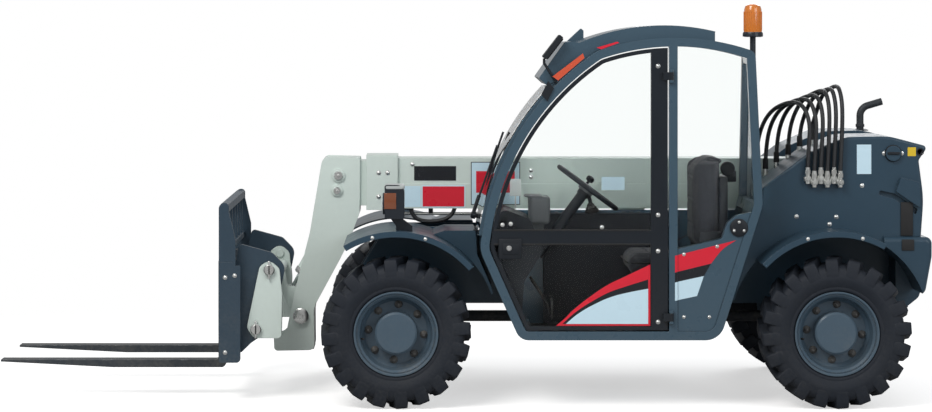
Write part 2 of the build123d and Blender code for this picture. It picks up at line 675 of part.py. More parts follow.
screen_band = offset(cab_face, amount=SCREEN_SEAL + SEAT + GLASS) - offset(cab_face, amount=SCREEN_SEAL + SEAT)
windscreen = slab(within(screen_band, -1100, -400, SCREEN_LOW, SCREEN_TOP), TUBES_IN - 10, TUBES_OUT + 10)
glass_band = offset(cab_face, amount=-8) - offset(cab_face, amount=-8 - GLASS)
glass_band_right = offset(cab_face_right, amount=-8) - offset(cab_face_right, amount=-8 - GLASS)
rear_pane = loft(
    [
        side_plane(TUBES_OUT - SEAT) * within(glass_band, -1900, -1780, 1052, 1770),
        side_plane(TUBES_IN + SEAT) * within(glass_band_right, -1940, -1800, 1052, 1770),
    ]
) - cab_frame
right_light = within(clear_right, -1940, -400, SHELF_TOP + SEAT, 1900)
right_pane = slab(right_light, TUBES_IN - 14, TUBES_IN - 14 + GLASS) - cab_frame
left_light = (cab_clear & Pos(-1700, 1300) * Rectangle(2 * (1700 + B_POST_REAR), 1400)) - outline(
    quarter_line, [0, 0, 20, 40, 30, 0, 0]
)
left_pane = slab(left_light, CAB_OUT - 20, CAB_OUT - 20 + GLASS) - cab_frame
save("cab_glass", windscreen, rear_pane, right_pane, left_pane)

# door, hung on the post behind it
DOOR_RAIL = 20
STILE_FRONT = -1302  # front edge of the broad band along the hinges
DOOR_INNER, DOOR_FACE = TUBES_OUT + 2, CAB_OUT - 4
door_face = within(offset(cab_face, amount=-RAIL - DOOR_GAP), B_POST_FRONT + DOOR_GAP, -300, 0, 3000)
door_clear = within(offset(door_face, amount=-DOOR_RAIL), STILE_FRONT, -300, 0, 3000)
door = slab(door_face - door_clear, DOOR_INNER, DOOR_FACE)
door += slab(within(door_clear, -1500, -400, WAIST_LOW, WAIST_HIGH), DOOR_INNER, DOOR_FACE)
for z in HINGES:
    z_low, z_high = z - KNUCKLE_HALF, z + KNUCKLE_HALF
    knuckle_eye = bar_z(HINGE_X, HINGE_Y, 12, z_low, z_high)
    knuckle_eye += block(HINGE_X, B_POST_FRONT + DOOR_GAP + 24, DOOR_FACE + 5, HINGE_Y + 8, z_low, z_high)
    knuckle_eye += block(
        B_POST_FRONT + DOOR_GAP, B_POST_FRONT + DOOR_GAP + 24, DOOR_FACE - 2, HINGE_Y, z_low, z_high
    )
    door += knuckle_eye - bar_z(HINGE_X, HINGE_Y, HINGE_PIN + SEAT, 0, 3000)
save("cab_door", door)
panes = []
for z_low, z_high in ((0, WAIST_LOW - SEAT), (WAIST_HIGH + SEAT, 3000)):
    panes.append(slab(within(offset(door_clear, amount=-SEAT), -1500, -400, z_low, z_high), DOOR_FACE - 14, DOOR_FACE - 8))
save("door_glass", *panes)

# ------------------------------------------------------------------ inside the cab
DRIVER_Y = (CAB_IN + CAB_OUT) / 2
WHEEL_CENTRE = Vector(-999, DRIVER_Y, 1111)
COLUMN_WAY = Vector(-0.595, 0, 0.804)  # from the dash up to the driver
hub_low = WHEEL_CENTRE - COLUMN_WAY * 50
steering = Plane(origin=WHEEL_CENTRE, z_dir=COLUMN_WAY) * Torus(182, 13)
steering += rod(hub_low, WHEEL_CENTRE + COLUMN_WAY * 6, 34)
for turn in (0, 120, 240):
    spoke = Rot(0, 0, turn) * Pos(91, 0, 5) * Box(176, 26, 8)
    steering += Plane(origin=WHEEL_CENTRE - COLUMN_WAY * 10, z_dir=COLUMN_WAY) * spoke
save("steering_wheel", steering)

dash_face = outline(
    [
        (-545, FLOOR_LOW + 21),
        (-486, 640),
        (-478, 960),
        (-560, 1010),
        (-690, 960),
        (-760, 800),
        (-660, 640),
        (-640, FLOOR_LOW + 21),
    ],
    [0, 0, 20, 40, 40, 40, 60, 0],
)
dash = slab(dash_face & offset(cab_face, amount=-RAIL - SEAT), DRIVER_Y - 210, DRIVER_Y + 210)
dash += rod(WHEEL_CENTRE - COLUMN_WAY * 440, hub_low - COLUMN_WAY * SEAT, 28)
save("dashboard", dash)

FLOOR_TOP = FLOOR_LOW + 20
seat_base = block(-1600, -1240, DRIVER_Y - 190, DRIVER_Y + 190, FLOOR_TOP + SEAT, 680)
save("seat_base", seat_base)
SEAT_TOP = 790
cushion = block(-1620, -1180, DRIVER_Y - 230, DRIVER_Y + 230, 680 + SEAT, SEAT_TOP)
cushion = fillet(cushion.edges().filter_by(Axis.Z), 40)
back_low = SEAT_TOP + SEAT
back_face = outline(
    [(-1535, back_low), (-1545, 1000), (-1590, 1281), (-1705, 1281), (-1672, 1000), (-1650, back_low)],
    [10, 80, 30, 40, 60, 20],
)
back = slab(back_face, DRIVER_Y - 215, DRIVER_Y + 215)
save("seat_cushions", cushion, back)

CONSOLE_TOP = 960
STICK_Y = TUBES_IN + PANEL + 28
console = block(-1480, -780, STICK_Y - 26, STICK_Y + 26, FLOOR_TOP + SEAT, CONSOLE_TOP)
stick = rod((-1045, STICK_Y, CONSOLE_TOP - 1), (-1020, STICK_Y, 1060), 10) + Pos(-1018, STICK_Y, 1075) * Sphere(21)
save("control_console", console + stick)

# ------------------------------------------------------------------ cab fittings
wiper = rod((-500, DRIVER_Y, 940), (-392, DRIVER_Y, 972), 12)
wiper -= slab(offset(cab_face, amount=SCREEN_SEAL + GLASS + 2 * SEAT), CAB_IN, CAB_OUT)
wiper += rod((-398, DRIVER_Y, 970), (-528, DRIVER_Y - 60, 1330), 6)
save("wiper", wiper)
MIRROR_Y = CAB_OUT - TUBE / 2
mirror_plate = outline([(-747, 1800), (-834, 1913), (-854, 1897), (-767, 1784)], 6)
mirror_arm = rod((-757, MIRROR_Y, 1790), (-757, MIRROR_Y, 1762), 7)
mirror_arm += rod((-757, MIRROR_Y, 1766), (-830, MIRROR_Y, 1650), 7)
mirror_arm -= slab(near_cab, CAB_IN, CAB_OUT)
save("mirror", mirror_arm + slab(mirror_plate, MIRROR_Y - 70, MIRROR_Y + 45))
BEACON = (REAR_TOP + 5, CAB_OUT - 70)
beacon = bar_z(*BEACON, 16, 1780, 1901) - skewed(offset(cab_face, amount=SEAT - HEADER_INSET))
beacon += bar_z(*BEACON, 52, 1900, 1925) + bar_z(*BEACON, 46, 1925, 2070)
save("beacon", beacon)

# ------------------------------------------------------------------ boom
tube_section = outline([(BOOM_REAR, BOOM_LOW), (BOOM_REAR, BOOM_TOP), (BOOM_FRONT, BOOM_TOP), (BOOM_FRONT, BOOM_LOW)])
outer = slab(tube_section, -BOOM_HALF, BOOM_HALF)
FOLD_TOP, FOLD_OUT = 1108, BOOM_HALF + 3  # the lower plate laps over the upper one's sides
outer += block(BOOM_REAR, BOOM_FRONT, -FOLD_OUT, FOLD_OUT, BOOM_LOW, FOLD_TOP)
outer -= block(
    BOOM_REAR + 20, BOOM_FRONT + 1,
    -BOOM_HALF + BOOM_WALL, BOOM_HALF - BOOM_WALL,
    BOOM_LOW + BOOM_WALL, BOOM_TOP - BOOM_WALL,
)
COLLAR = (-3, 18)  # rear end and how far it stands proud
outer += block(
    COLLAR[0], BOOM_FRONT, -BOOM_HALF - COLLAR[1], BOOM_HALF + COLLAR[1], BOOM_LOW - 7, BOOM_TOP + 17
) - block(
    COLLAR[0] - 1, BOOM_FRONT + 1, -BOOM_HALF + 1, BOOM_HALF - 1, BOOM_LOW + 1, BOOM_TOP - 1
)
pads = block(BOOM_FRONT - 80, BOOM_FRONT, -BOOM_HALF + 5, BOOM_HALF - 5, BOOM_LOW + 5, BOOM_TOP - 5) - block(
    BOOM_FRONT - 81, BOOM_FRONT + 1,
    -INNER_HALF - SEAT, INNER_HALF + SEAT,
    INNER_LOW - SEAT, INNER_TOP + SEAT,
)
outer += pads
hump = outline([(-2200, BOOM_TOP - 5), (-2260, 1335), (-2400, 1335), (BOOM_REAR, BOOM_TOP - 5)], [0, 20, 40, 0])
outer += slab(hump, -90, 90)
outer += bar_y(PIVOT_X, PIVOT_Z, 70, -SPINE_IN + 2, SPINE_IN - 2) - block(
    BOOM_REAR, BOOM_FRONT, -BOOM_HALF + 1, BOOM_HALF - 1, 0, 3000
)
outer += bar_y(PIVOT_X, PIVOT_Z, PIN_R - SEAT, -SPINE_OUT - 12, SPINE_OUT + 12)
for y_low, y_high in ((37, 53), (-53, -37)):
    lug = outline(
        [
            (LIFT_EYE[0] - 90, BOOM_LOW + 2),
            (LIFT_EYE[0] + 90, BOOM_LOW + 2),
            (LIFT_EYE[0] + 45, 820),
            (LIFT_EYE[0] - 45, 820),
        ],
        [0, 0, 40, 40],
    )
    outer += slab(lug, y_low, y_high)
save("boom_outer", outer)

INNER_REAR = -2150
inner_tube = block(INNER_REAR, INNER_FRONT, -INNER_HALF, INNER_HALF, INNER_LOW, INNER_TOP)
inner_tube -= block(INNER_REAR - 1, INNER_FRONT + 1, -INNER_HALF + 8, INNER_HALF - 8, INNER_LOW + 8, INNER_TOP - 8)
rear_pads = block(
    INNER_REAR, INNER_REAR + 90,
    -INNER_HALF - SLIDE_GAP + SEAT, INNER_HALF + SLIDE_GAP - SEAT,
    INNER_LOW - SLIDE_GAP + SEAT, INNER_TOP + SLIDE_GAP - SEAT,
) - block(INNER_REAR - 1, INNER_REAR + 91, -INNER_HALF + 1, INNER_HALF - 1, INNER_LOW + 1, INNER_TOP - 1)
save("boom_inner", inner_tube + rear_pads)

HEAD_PLATE = 16
HEAD_OUT = INNER_HALF + HEAD_PLATE
TILT_PIN = (519, 398)
TILT_BASE = (345, 925)
head_face = outline(
    [
        (200, 1247),
        (396, 1252),
        (410, 1214),
        (471, 848),
        (560, 500),
        (600, 300),
        (666, 277),
        (663, 208),
        (447, 212),
        (450, 442),
        (309, 702),
        (255, 808),
        (203, 952),
    ],
    [8, 30, 0, 200, 0, 60, 8, 20, 30, 120, 0, 0, 60],
)
head = both(slab(head_face, INNER_HALF, HEAD_OUT) - bar_y(*TILT_PIN, 30, 0, 400))
web = trace(Polyline((212, 960), (264, 812), (317, 706), (456, 446), (456, 216)), 12)
head += slab(web, -INNER_HALF - 1, INNER_HALF + 1)
head += block(204, 394, -INNER_HALF - 1, INNER_HALF + 1, INNER_TOP + SEAT, 1246)
head += block(204, 240, -INNER_HALF - 1, INNER_HALF + 1, 960, INNER_LOW - SEAT)
head += block(596, 636, -INNER_HALF - 1, INNER_HALF + 1, 212, 236)
head += bar_y(*TILT_BASE, 22, -INNER_HALF - 1, INNER_HALF + 1)
for x, z, radius in ((317, 1152, 35), (324, 1071, 30)):  # bosses on the cheeks
    head += both(bar_y(x, z, radius, HEAD_OUT - 1, HEAD_OUT + 10))
save("boom_head", head)


# ------------------------------------------------------------------ cylinders
def cylinder(base, eye, dead, barrel_r, rod_r, eye_r, width, pin_r):
    """A barrel with its base eye, and a rod with its own eye, in line between two pins in the middle plane."""
    base, eye = Vector(base[0], 0, base[1]), Vector(eye[0], 0, eye[1])
    way = (eye - base).normalized()
    reach = (eye - base).length
    barrel = rod(base + way * (eye_r - 6), base + way * (reach - dead), barrel_r)
    barrel += bar_y(base.X, base.Z, eye_r, -width / 2, width / 2)
    barrel -= bar_y(base.X, base.Z, pin_r + SEAT, -width, width)
    barrel -= rod(base + way * (eye_r + 30), base + way * (reach - dead + 1), rod_r + SEAT)
    stem = rod(base + way * (eye_r + 60), eye - way * (eye_r - 6), rod_r)
    stem += bar_y(eye.X, eye.Z, eye_r, -width / 2, width / 2)
    return barrel, stem


lift_barrel, lift_rod = cylinder(LIFT_BASE, LIFT_EYE, 150, 58, 32, 44, 73, 26)
save("lift_barrel", lift_barrel)
save("lift_rod", lift_rod)
TILT_EYE = (573, 514)
tilt_barrel, tilt_rod = cylinder(TILT_BASE, TILT_EYE, 110, 40, 22, 36, 56, 22)
save("tilt_barrel", tilt_barrel)
save("tilt_rod", tilt_rod)

# ------------------------------------------------------------------ coupler
UPPER_PIN = (665, 684)
LOWER_PIN = (735, 373)
TORQUE_TUBE = (655, 620)
COUPLER_SIDE = 520  # middle of each ear
coupler = bar_y(*TILT_PIN, 30 - SEAT, -HEAD_OUT - 14, HEAD_OUT + 14)
coupler += bar_y(*TILT_PIN, 50, -88, 88)
arm_face = outline(
    [(475, 370), (553, 358), (640, 560), (690, 600), (680, 660), (620, 650), (600, 548), (545, 550), (528, 500), (478, 430)],
    [30, 30, 30, 20, 20, 20, 10, 26, 20, 20],
)
for y_low, y_high in ((33, 49), (-49, -33)):
    coupler += slab(arm_face, y_low, y_high)
coupler += bar_y(*TORQUE_TUBE, 34, -COUPLER_SIDE - 32, COUPLER_SIDE + 32)
cheek_face = outline(
    [(602, 325), (745, 325), (783, 380), (716, 700), (665, 735), (612, 690), (598, 553)],
    [20, 40, 40, 40, 45, 40, 60],
)
for side in (1, -1):
    for offset_y in (-24, 24):
        middle = side * COUPLER_SIDE + offset_y
        coupler += slab(cheek_face, middle - 8, middle + 8)
    for pin in (UPPER_PIN, LOWER_PIN):
        low, high = side * COUPLER_SIDE - 42, side * COUPLER_SIDE + 42
        coupler += bar_y(*pin, 22, low, high)
save("coupler", coupler)

# ------------------------------------------------------------------ fork carriage
CARRIAGE_OUT = 632
BAR_FRONT, BAR_REAR = 904, 862
UPPER_BAR = (600, 680)
LOWER_BAR = (215, 300)
GUARD_LOW = 730
side_face = outline(
    [(923, 207), (923, GUARD_LOW), (836, GUARD_LOW), (836, 711), (811, 711), (811, 207)],
    [10, 0, 0, 0, 0, 20],
)
guard_side = outline(
    [(923, GUARD_LOW), (923, 1037), (870, 1037), (870, 987), (836, 843), (836, GUARD_LOW)],
    [0, 30, 20, 20, 0, 0],
)
ear_face = outline(
    [(870, 728), (840, 728), (824, 818), (651, 771), (582, 700), (600, 610), (700, 340), (760, 300), (811, 250), (870, 250)],
    [0, 0, 20, 50, 60, 60, 40, 30, 0, 0],
)
carriage = both(slab(side_face, CARRIAGE_OUT - 20, CARRIAGE_OUT))
ear = slab(ear_face, COUPLER_SIDE - 12, COUPLER_SIDE + 12)
for pin in (UPPER_PIN, LOWER_PIN, TORQUE_TUBE):
    ear -= bar_y(*pin, (34 if pin is TORQUE_TUBE else 22) + SEAT, 0, 2000)
carriage += both(ear)
for z_low, z_high in (UPPER_BAR, LOWER_BAR):
    carriage += block(BAR_REAR, BAR_FRONT, -CARRIAGE_OUT + 19, CARRIAGE_OUT - 19, z_low, z_high)
for y in (-170, 170):
    carriage += block(BAR_REAR, BAR_FRONT, y - 30, y + 30, LOWER_BAR[1] - 5, UPPER_BAR[0] + 5)
save("fork_carriage", carriage)

guard = both(slab(guard_side, CARRIAGE_OUT - 20, CARRIAGE_OUT))
guard += block(BAR_REAR + 10, BAR_FRONT + 10, -CARRIAGE_OUT + 19, CARRIAGE_OUT - 19, 990, 1030)
guard += block(BAR_REAR + 10, BAR_FRONT, -CARRIAGE_OUT + 19, CARRIAGE_OUT - 19, 770, 800)
for y in (-480, -288, -96, 96, 288, 480):
    guard += block(BAR_REAR + 14, BAR_FRONT, y - 8, y + 8, 798, 992)
save("load_guard", guard)

FORK_Y = 327
FORK_WIDTH = 100
FORK_THICK = 40
FORK_LOW = 152
HEEL = BAR_FRONT + SEAT + FORK_THICK
fork_face = outline(
    [
        (FORK_REACH, FORK_LOW + FORK_THICK - 10),
        (FORK_REACH, FORK_LOW + FORK_THICK),
        (HEEL, FORK_LOW + FORK_THICK),
        (HEEL, 720),
        (BAR_REAR - 18, 720),
        (BAR_REAR - 18, UPPER_BAR[1] - 22),
        (BAR_REAR - SEAT, UPPER_BAR[1] - 22),
        (BAR_REAR - SEAT, UPPER_BAR[1] + SEAT),
        (BAR_FRONT + SEAT, UPPER_BAR[1] + SEAT),
        (BAR_FRONT + SEAT, LOWER_BAR[0] - SEAT),
        (BAR_REAR - SEAT, LOWER_BAR[0] - SEAT),
        (BAR_REAR - SEAT, LOWER_BAR[0] - 26),
        (BAR_FRONT + SEAT, LOWER_BAR[0] - 26),
        (BAR_FRONT + SEAT, FORK_LOW),
        (1500, FORK_LOW),
    ],
    [0, 0, 16, 10, 8, 4, 0, 0, 0, 0, 0, 4, 0, 24, 0],
)
fork = slab(fork_face, FORK_Y - FORK_WIDTH / 2, FORK_Y + FORK_WIDTH / 2)
save("fork_left", fork)
save("fork_right", mirrored(fork))

# ------------------------------------------------------------------ hydraulic hoses behind the cab
HOSE_R = 11
HOSE_OUT = BODY_OUT + 26  # y of the outer fittings
HOSE_IN = 250  # y of the inner ones
HOSES = [  # corners of each run, from its fitting on the flank up, over the body and down beside the boom
    [(-2134, HOSE_OUT, 1223), (-2140, HOSE_OUT, 1338), (-2148, 641, 1451), (-2119, 592, 1548), (-2063, 478, 1562),
     (-1982, 352, 1512), (-1937, 276, 1416), (-1917, HOSE_IN, 1291), (-1915, HOSE_IN, 1200)],
    [(-2168, HOSE_OUT, 1205), (-2174, HOSE_OUT, 1320), (-2182, 641, 1468), (-2160, 592, 1565), (-2122, 478, 1579),
     (-2036, 352, 1529), (-1988, 276, 1433), (-1968, HOSE_IN, 1307), (-1966, HOSE_IN, 1215)],
    [(-2202, HOSE_OUT, 1223), (-2208, HOSE_OUT, 1338), (-2216, 641, 1488), (-2200, 592, 1585), (-2175, 478, 1599),
     (-2092, 352, 1549), (-2046, 276, 1453), (-2026, HOSE_IN, 1335), (-2024, HOSE_IN, 1250)],
    [(-2236, HOSE_OUT, 1205), (-2242, HOSE_OUT, 1320), (-2250, 641, 1512), (-2240, 592, 1609), (-2228, 478, 1623),
     (-2150, 352, 1573), (-2109, 276, 1477), (-2089, HOSE_IN, 1369), (-2087, HOSE_IN, 1290)],
    [(-2270, HOSE_OUT, 1223), (-2276, HOSE_OUT, 1338), (-2284, 641, 1521), (-2275, 592, 1618), (-2268, 478, 1632),
     (-2202, 352, 1582), (-2170, 276, 1486), (-2150, HOSE_IN, 1398), (-2148, HOSE_IN, 1335)],
    [(-2303, HOSE_OUT, 1205), (-2309, HOSE_OUT, 1320), (-2317, 641, 1535), (-2308, 592, 1632), (-2301, 478, 1646),
     (-2252, 352, 1596), (-2234, 276, 1500), (-2214, HOSE_IN, 1425), (-2212, HOSE_IN, 1370)],
]
BEND_SHARE = 0.45  # of the shorter run beside a corner that its bend takes up


def bend_radii(points):
    """For each inner corner, the largest radius whose bend leaves room for its neighbours."""
    radii = []
    for before, corner, after in zip(points, points[1:], points[2:]):
        run_in, run_out = Vector(*corner) - Vector(*before), Vector(*after) - Vector(*corner)
        half_turn = math.radians(run_in.get_angle(run_out)) / 2
        radii.append(BEND_SHARE * min(run_in.length, run_out.length) / math.tan(half_turn))
    return radii


hoses, fittings = [], []
for points in HOSES:
    path = FilletPolyline(*points, radius=bend_radii(points))
    start, end = Vector(*points[0]), Vector(*points[-1])
    hose = sweep(Plane(origin=start, z_dir=Vector(*points[1]) - start) * Circle(HOSE_R), path=path)
    elbow = bar_z(start.X, HOSE_OUT, 13, start.Z - 85, start.Z)
    elbow += bar_y(start.X, start.Z - 60, 10, BODY_OUT + SEAT, HOSE_OUT)
    foot = bar_z(end.X, HOSE_IN, 14, end.Z - 90, end.Z) - slab(body_face, BODY_IN - 1, BODY_OUT)
    hoses.append(hose - elbow - foot)
    fittings += [elbow, foot]
save("hoses", *hoses)
save("hose_fittings", *fittings)
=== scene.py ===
"""Looks of a compact telescopic handler: finishes for its construction, and the tyres, hoses, cushions, glass edges,
stripes, lamps and small fittings that stand on it. Metres; places are given from the front axle, from the middle of
the machine and from the ground.
"""

import json
import math
from contextlib import contextmanager

import bmesh
import bpy
from mathutils import Matrix, Vector


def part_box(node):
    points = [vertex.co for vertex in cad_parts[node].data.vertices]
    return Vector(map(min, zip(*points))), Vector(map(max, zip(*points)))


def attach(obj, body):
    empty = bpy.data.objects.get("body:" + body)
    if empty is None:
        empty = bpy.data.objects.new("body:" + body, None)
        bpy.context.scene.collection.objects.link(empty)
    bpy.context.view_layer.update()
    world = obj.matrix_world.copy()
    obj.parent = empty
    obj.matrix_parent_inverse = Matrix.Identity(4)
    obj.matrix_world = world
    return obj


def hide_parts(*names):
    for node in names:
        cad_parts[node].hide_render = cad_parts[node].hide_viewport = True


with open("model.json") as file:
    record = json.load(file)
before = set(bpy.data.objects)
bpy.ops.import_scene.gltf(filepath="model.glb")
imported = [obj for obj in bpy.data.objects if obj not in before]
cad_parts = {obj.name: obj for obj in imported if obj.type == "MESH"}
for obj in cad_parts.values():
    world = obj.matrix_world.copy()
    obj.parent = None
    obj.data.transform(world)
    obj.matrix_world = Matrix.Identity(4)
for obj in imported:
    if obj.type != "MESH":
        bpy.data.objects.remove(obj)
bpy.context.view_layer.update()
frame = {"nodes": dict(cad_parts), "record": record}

NODES = frame["nodes"]


def middle(node):
    low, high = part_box(node)
    return (low + high) / 2


WHEELS = ("fl", "fr", "rl", "rr")
AXLE_X = middle("rim_fl").x
AXLE_Z = middle("rim_fl").z
REAR_X = middle("rim_rl").x - AXLE_X  # rear axle, from the front one
HALF_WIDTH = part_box("rim_fl")[1].y + 0.011  # outer face of the tyres


def at(x, y, z):
    """A place x ahead of the front axle, y left of the middle and z above the ground."""
    return Vector((AXLE_X + x, y, z))


# ------------------------------------------------------------------ camera, stage and light
def camera():
    """A long lens on the machine's left, a little ahead of its middle and at the height of its roof."""
    data = bpy.data.cameras.new("camera")
    data.lens, data.sensor_width = 102.4, 36.0
    data.shift_x, data.shift_y = 43 / 932, -173 / 932
    made = bpy.data.objects.new("camera", data)
    bpy.context.scene.collection.objects.link(made)
    made.location = at(-0.138, 14.4, 1.92)
    made.rotation_mode = "QUATERNION"
    made.rotation_quaternion = Vector((0, -1, 0)).to_track_quat("-Z", "Y")
    bpy.context.scene.camera = made


def softbox(name, place, aim, size, watts, colour):
    """A square studio lamp that faces a point."""
    data = bpy.data.lights.new(name, "AREA")
    data.shape, data.size, data.energy, data.color = "SQUARE", size, watts, colour
    lamp = bpy.data.objects.new(name, data)
    bpy.context.scene.collection.objects.link(lamp)
    lamp.location = place
    lamp.rotation_mode = "QUATERNION"
    lamp.rotation_quaternion = (Vector(aim) - Vector(place)).to_track_quat("-Z", "Y")


# ------------------------------------------------------------------ node helpers
def node(tree, kind, settings=None, inputs=None):
    """A shader node with its settings, and each input given a value or a link by name or place."""
    made = tree.nodes.new("ShaderNode" + kind)
    for key, value in (settings or {}).items():
        setattr(made, key, value)
    for key, value in (inputs or {}).items():
        if isinstance(value, bpy.types.NodeSocket):
            tree.links.new(value, made.inputs[key])
        else:
            made.inputs[key].default_value = value
    return made


def sums(tree, operation, first, second=0.0, clamp=False):
    return node(tree, "Math", {"operation": operation, "use_clamp": clamp}, {0: first, 1: second}).outputs[0]


def stretched(tree, value, low, high):
    """The value as 0 at low and 1 at high."""
    inputs = {"Value": value, "From Min": low, "From Max": high}
    return node(tree, "MapRange", {"clamp": True}, inputs).outputs["Result"]


def blended(tree, mask, first, second):
    """The first colour where the mask is 0 and the second where it is 1."""
    return node(tree, "Mix", {"data_type": "RGBA"}, {0: mask, 6: first, 7: second}).outputs[2]


def noise(tree, scale, detail=2.0, squeeze=(1, 1, 1)):
    """Noise on the piece's own place; squeeze draws it out along an axis."""
    place = node(tree, "TexCoord").outputs["Object"]
    turned_place = node(tree, "Mapping", None, {"Vector": place, "Scale": squeeze}).outputs[0]
    return node(tree, "TexNoise", None, {"Vector": turned_place, "Scale": scale, "Detail": detail}).outputs[0]


def effect(name, inputs, outputs):
    """An empty node group with named sockets; returns it with its input and output nodes."""
    tree = bpy.data.node_groups.new(name, "ShaderNodeTree")
    for label, kind, value in inputs:
        tree.interface.new_socket(name=label, in_out="INPUT", socket_type="NodeSocket" + kind).default_value = value
    for label, kind in outputs:
        tree.interface.new_socket(name=label, in_out="OUTPUT", socket_type="NodeSocket" + kind)
    return tree, tree.nodes.new("NodeGroupInput").outputs, tree.nodes.new("NodeGroupOutput").inputs


def worn_edges():
    """Edges that round off in the light, and a patchy mask of the places where they rub bare."""
    tree, given, result = effect(
        "worn edges", [("Rounding", "Float", 0.003), ("Wear", "Float", 0.3)], [("Normal", "Vector"), ("Bare", "Float")]
    )
    rounded = node(tree, "Bevel", {"samples": 4}, {"Radius": given["Rounding"]}).outputs[0]
    plain = node(tree, "NewGeometry").outputs["Normal"]
    near = node(tree, "VectorMath", {"operation": "DOT_PRODUCT"}, {0: rounded, 1: plain}).outputs["Value"]
    edge = stretched(tree, near, 0.995, 0.86)
    patches = stretched(tree, noise(tree, 26.0, 4.0), 0.46, 0.64)
    bare = sums(tree, "MULTIPLY", sums(tree, "MULTIPLY", edge, patches), given["Wear"], clamp=True)
    tree.links.new(rounded, result["Normal"])
    tree.links.new(bare, result["Bare"])
    return tree


def settled_dust():
    """Dust on upward faces and, thicker, low down on everything."""
    tree, given, result = effect(
        "settled dust", [("Amount", "Float", 0.4), ("Reach", "Float", 0.9)], [("Mask", "Float")]
    )
    geometry = node(tree, "NewGeometry").outputs
    up = node(tree, "SeparateXYZ", None, {0: geometry["Normal"]}).outputs["Z"]
    height = node(tree, "SeparateXYZ", None, {0: node(tree, "TexCoord").outputs["Object"]}).outputs["Z"]
    low = sums(tree, "POWER", sums(tree, "SUBTRACT", 1.0, sums(tree, "DIVIDE", height, given["Reach"]), clamp=True),
               1.5)
    top = sums(tree, "MULTIPLY", stretched(tree, up, 0.35, 1.0), 0.45)
    patchy = stretched(tree, noise(tree, 5.0, 6.0), 0.3, 0.72)
    fine = stretched(tree, noise(tree, 60.0, 3.0), 0.25, 0.8)
    share = sums(tree, "MULTIPLY", sums(tree, "MULTIPLY", sums(tree, "ADD", low, top), patchy), fine)
    tree.links.new(sums(tree, "MULTIPLY", share, given["Amount"], clamp=True), result["Mask"])
    return tree


def mottle():
    """A colour with the slight drift of a sprayed or moulded surface."""
    tree, given, result = effect(
        "mottle", [("Color", "Color", (0.5, 0.5, 0.5, 1)), ("Drift", "Float", 0.1)], [("Color", "Color")]
    )
    wide = sums(tree, "SUBTRACT", noise(tree, 1.6, 3.0), 0.5)
    narrow = sums(tree, "SUBTRACT", noise(tree, 34.0, 4.0), 0.5)
    drift = sums(tree, "MULTIPLY", sums(tree, "ADD", wide, sums(tree, "MULTIPLY", narrow, 0.5)), given["Drift"])
    value = sums(tree, "ADD", 1.0, sums(tree, "MULTIPLY", drift, 2.0))
    shaded = node(tree, "HueSaturation", None, {"Value": value, "Color": given["Color"]}).outputs[0]
    tree.links.new(shaded, result["Color"])
    return tree


def grain():
    """Small bumps: orange peel on paint, sand on castings, pebble on rubber and plastic."""
    tree, given, result = effect(
        "grain",
        [("Scale", "Float", 400.0), ("Depth", "Float", 0.0003), ("Normal", "Vector", (0, 0, 0))],
        [("Normal", "Vector")],
    )
    place = node(tree, "TexCoord").outputs["Object"]
    pebble = node(tree, "TexNoise", None, {"Vector": place, "Scale": given["Scale"], "Detail": 3.0}).outputs[0]
    raised = node(tree, "Bump", None, {"Height": pebble, "Distance": given["Depth"], "Normal": given["Normal"]})
    tree.links.new(raised.outputs[0], result["Normal"])
    return tree


EDGES, DUST, MOTTLE, GRAIN = worn_edges(), settled_dust(), mottle(), grain()
DUST_COLOUR = (0.30, 0.27, 0.22, 1)
PRIMER = (0.16, 0.15, 0.14, 1)


def placed(tree, group, **inputs):
    """A group put into a material with its own values."""
    made = tree.nodes.new("ShaderNodeGroup")
    made.node_tree = group
    for key, value in inputs.items():
        if isinstance(value, bpy.types.NodeSocket):
            tree.links.new(value, made.inputs[key])
        else:
            made.inputs[key].default_value = value
    return made.outputs


def new_material(name):
    """An empty material; returns it, its tree and its one shader."""
    made = bpy.data.materials.new(name)
    made.use_nodes = True
    return made, made.node_tree, made.node_tree.nodes["Principled BSDF"]


def feed(tree, shader, **inputs):
    for key, value in inputs.items():
        socket = shader.inputs[key.replace("_", " ")]
        if isinstance(value, bpy.types.NodeSocket):
            tree.links.new(value, socket)
        else:
            socket.default_value = value


def surface(name, colour, rough, drift, rounding, wear, dust, reach, scale, depth, bare=PRIMER, metal=0.0, coat=0.0):
    """A solid finish: drifting colour, rubbed edges, settled dust and a grain, with roughness that follows them."""
    made, tree, shader = new_material(name)
    edges = placed(tree, EDGES, Rounding=rounding, Wear=wear)
    dusty = placed(tree, DUST, Amount=dust, Reach=reach)["Mask"]
    own = placed(tree, MOTTLE, Color=(*colour, 1), Drift=drift)["Color"]
    rubbed = blended(tree, edges["Bare"], own, bare)
    smears = sums(tree, "MULTIPLY", sums(tree, "SUBTRACT", noise(tree, 11.0, 5.0), 0.5), 0.22)
    gloss = sums(tree, "ADD", sums(tree, "ADD", rough, smears), sums(tree, "MULTIPLY", dusty, 0.45), clamp=True)
    feed(
        tree, shader,
        Base_Color=blended(tree, dusty, rubbed, DUST_COLOUR),
        Roughness=gloss,
        Metallic=metal,
        Coat_Weight=coat,
        Coat_Roughness=0.12,
        Specular_IOR_Level=0.3,
        Normal=placed(tree, GRAIN, Scale=scale, Depth=depth, Normal=edges["Normal"])["Normal"],
    )
    return made


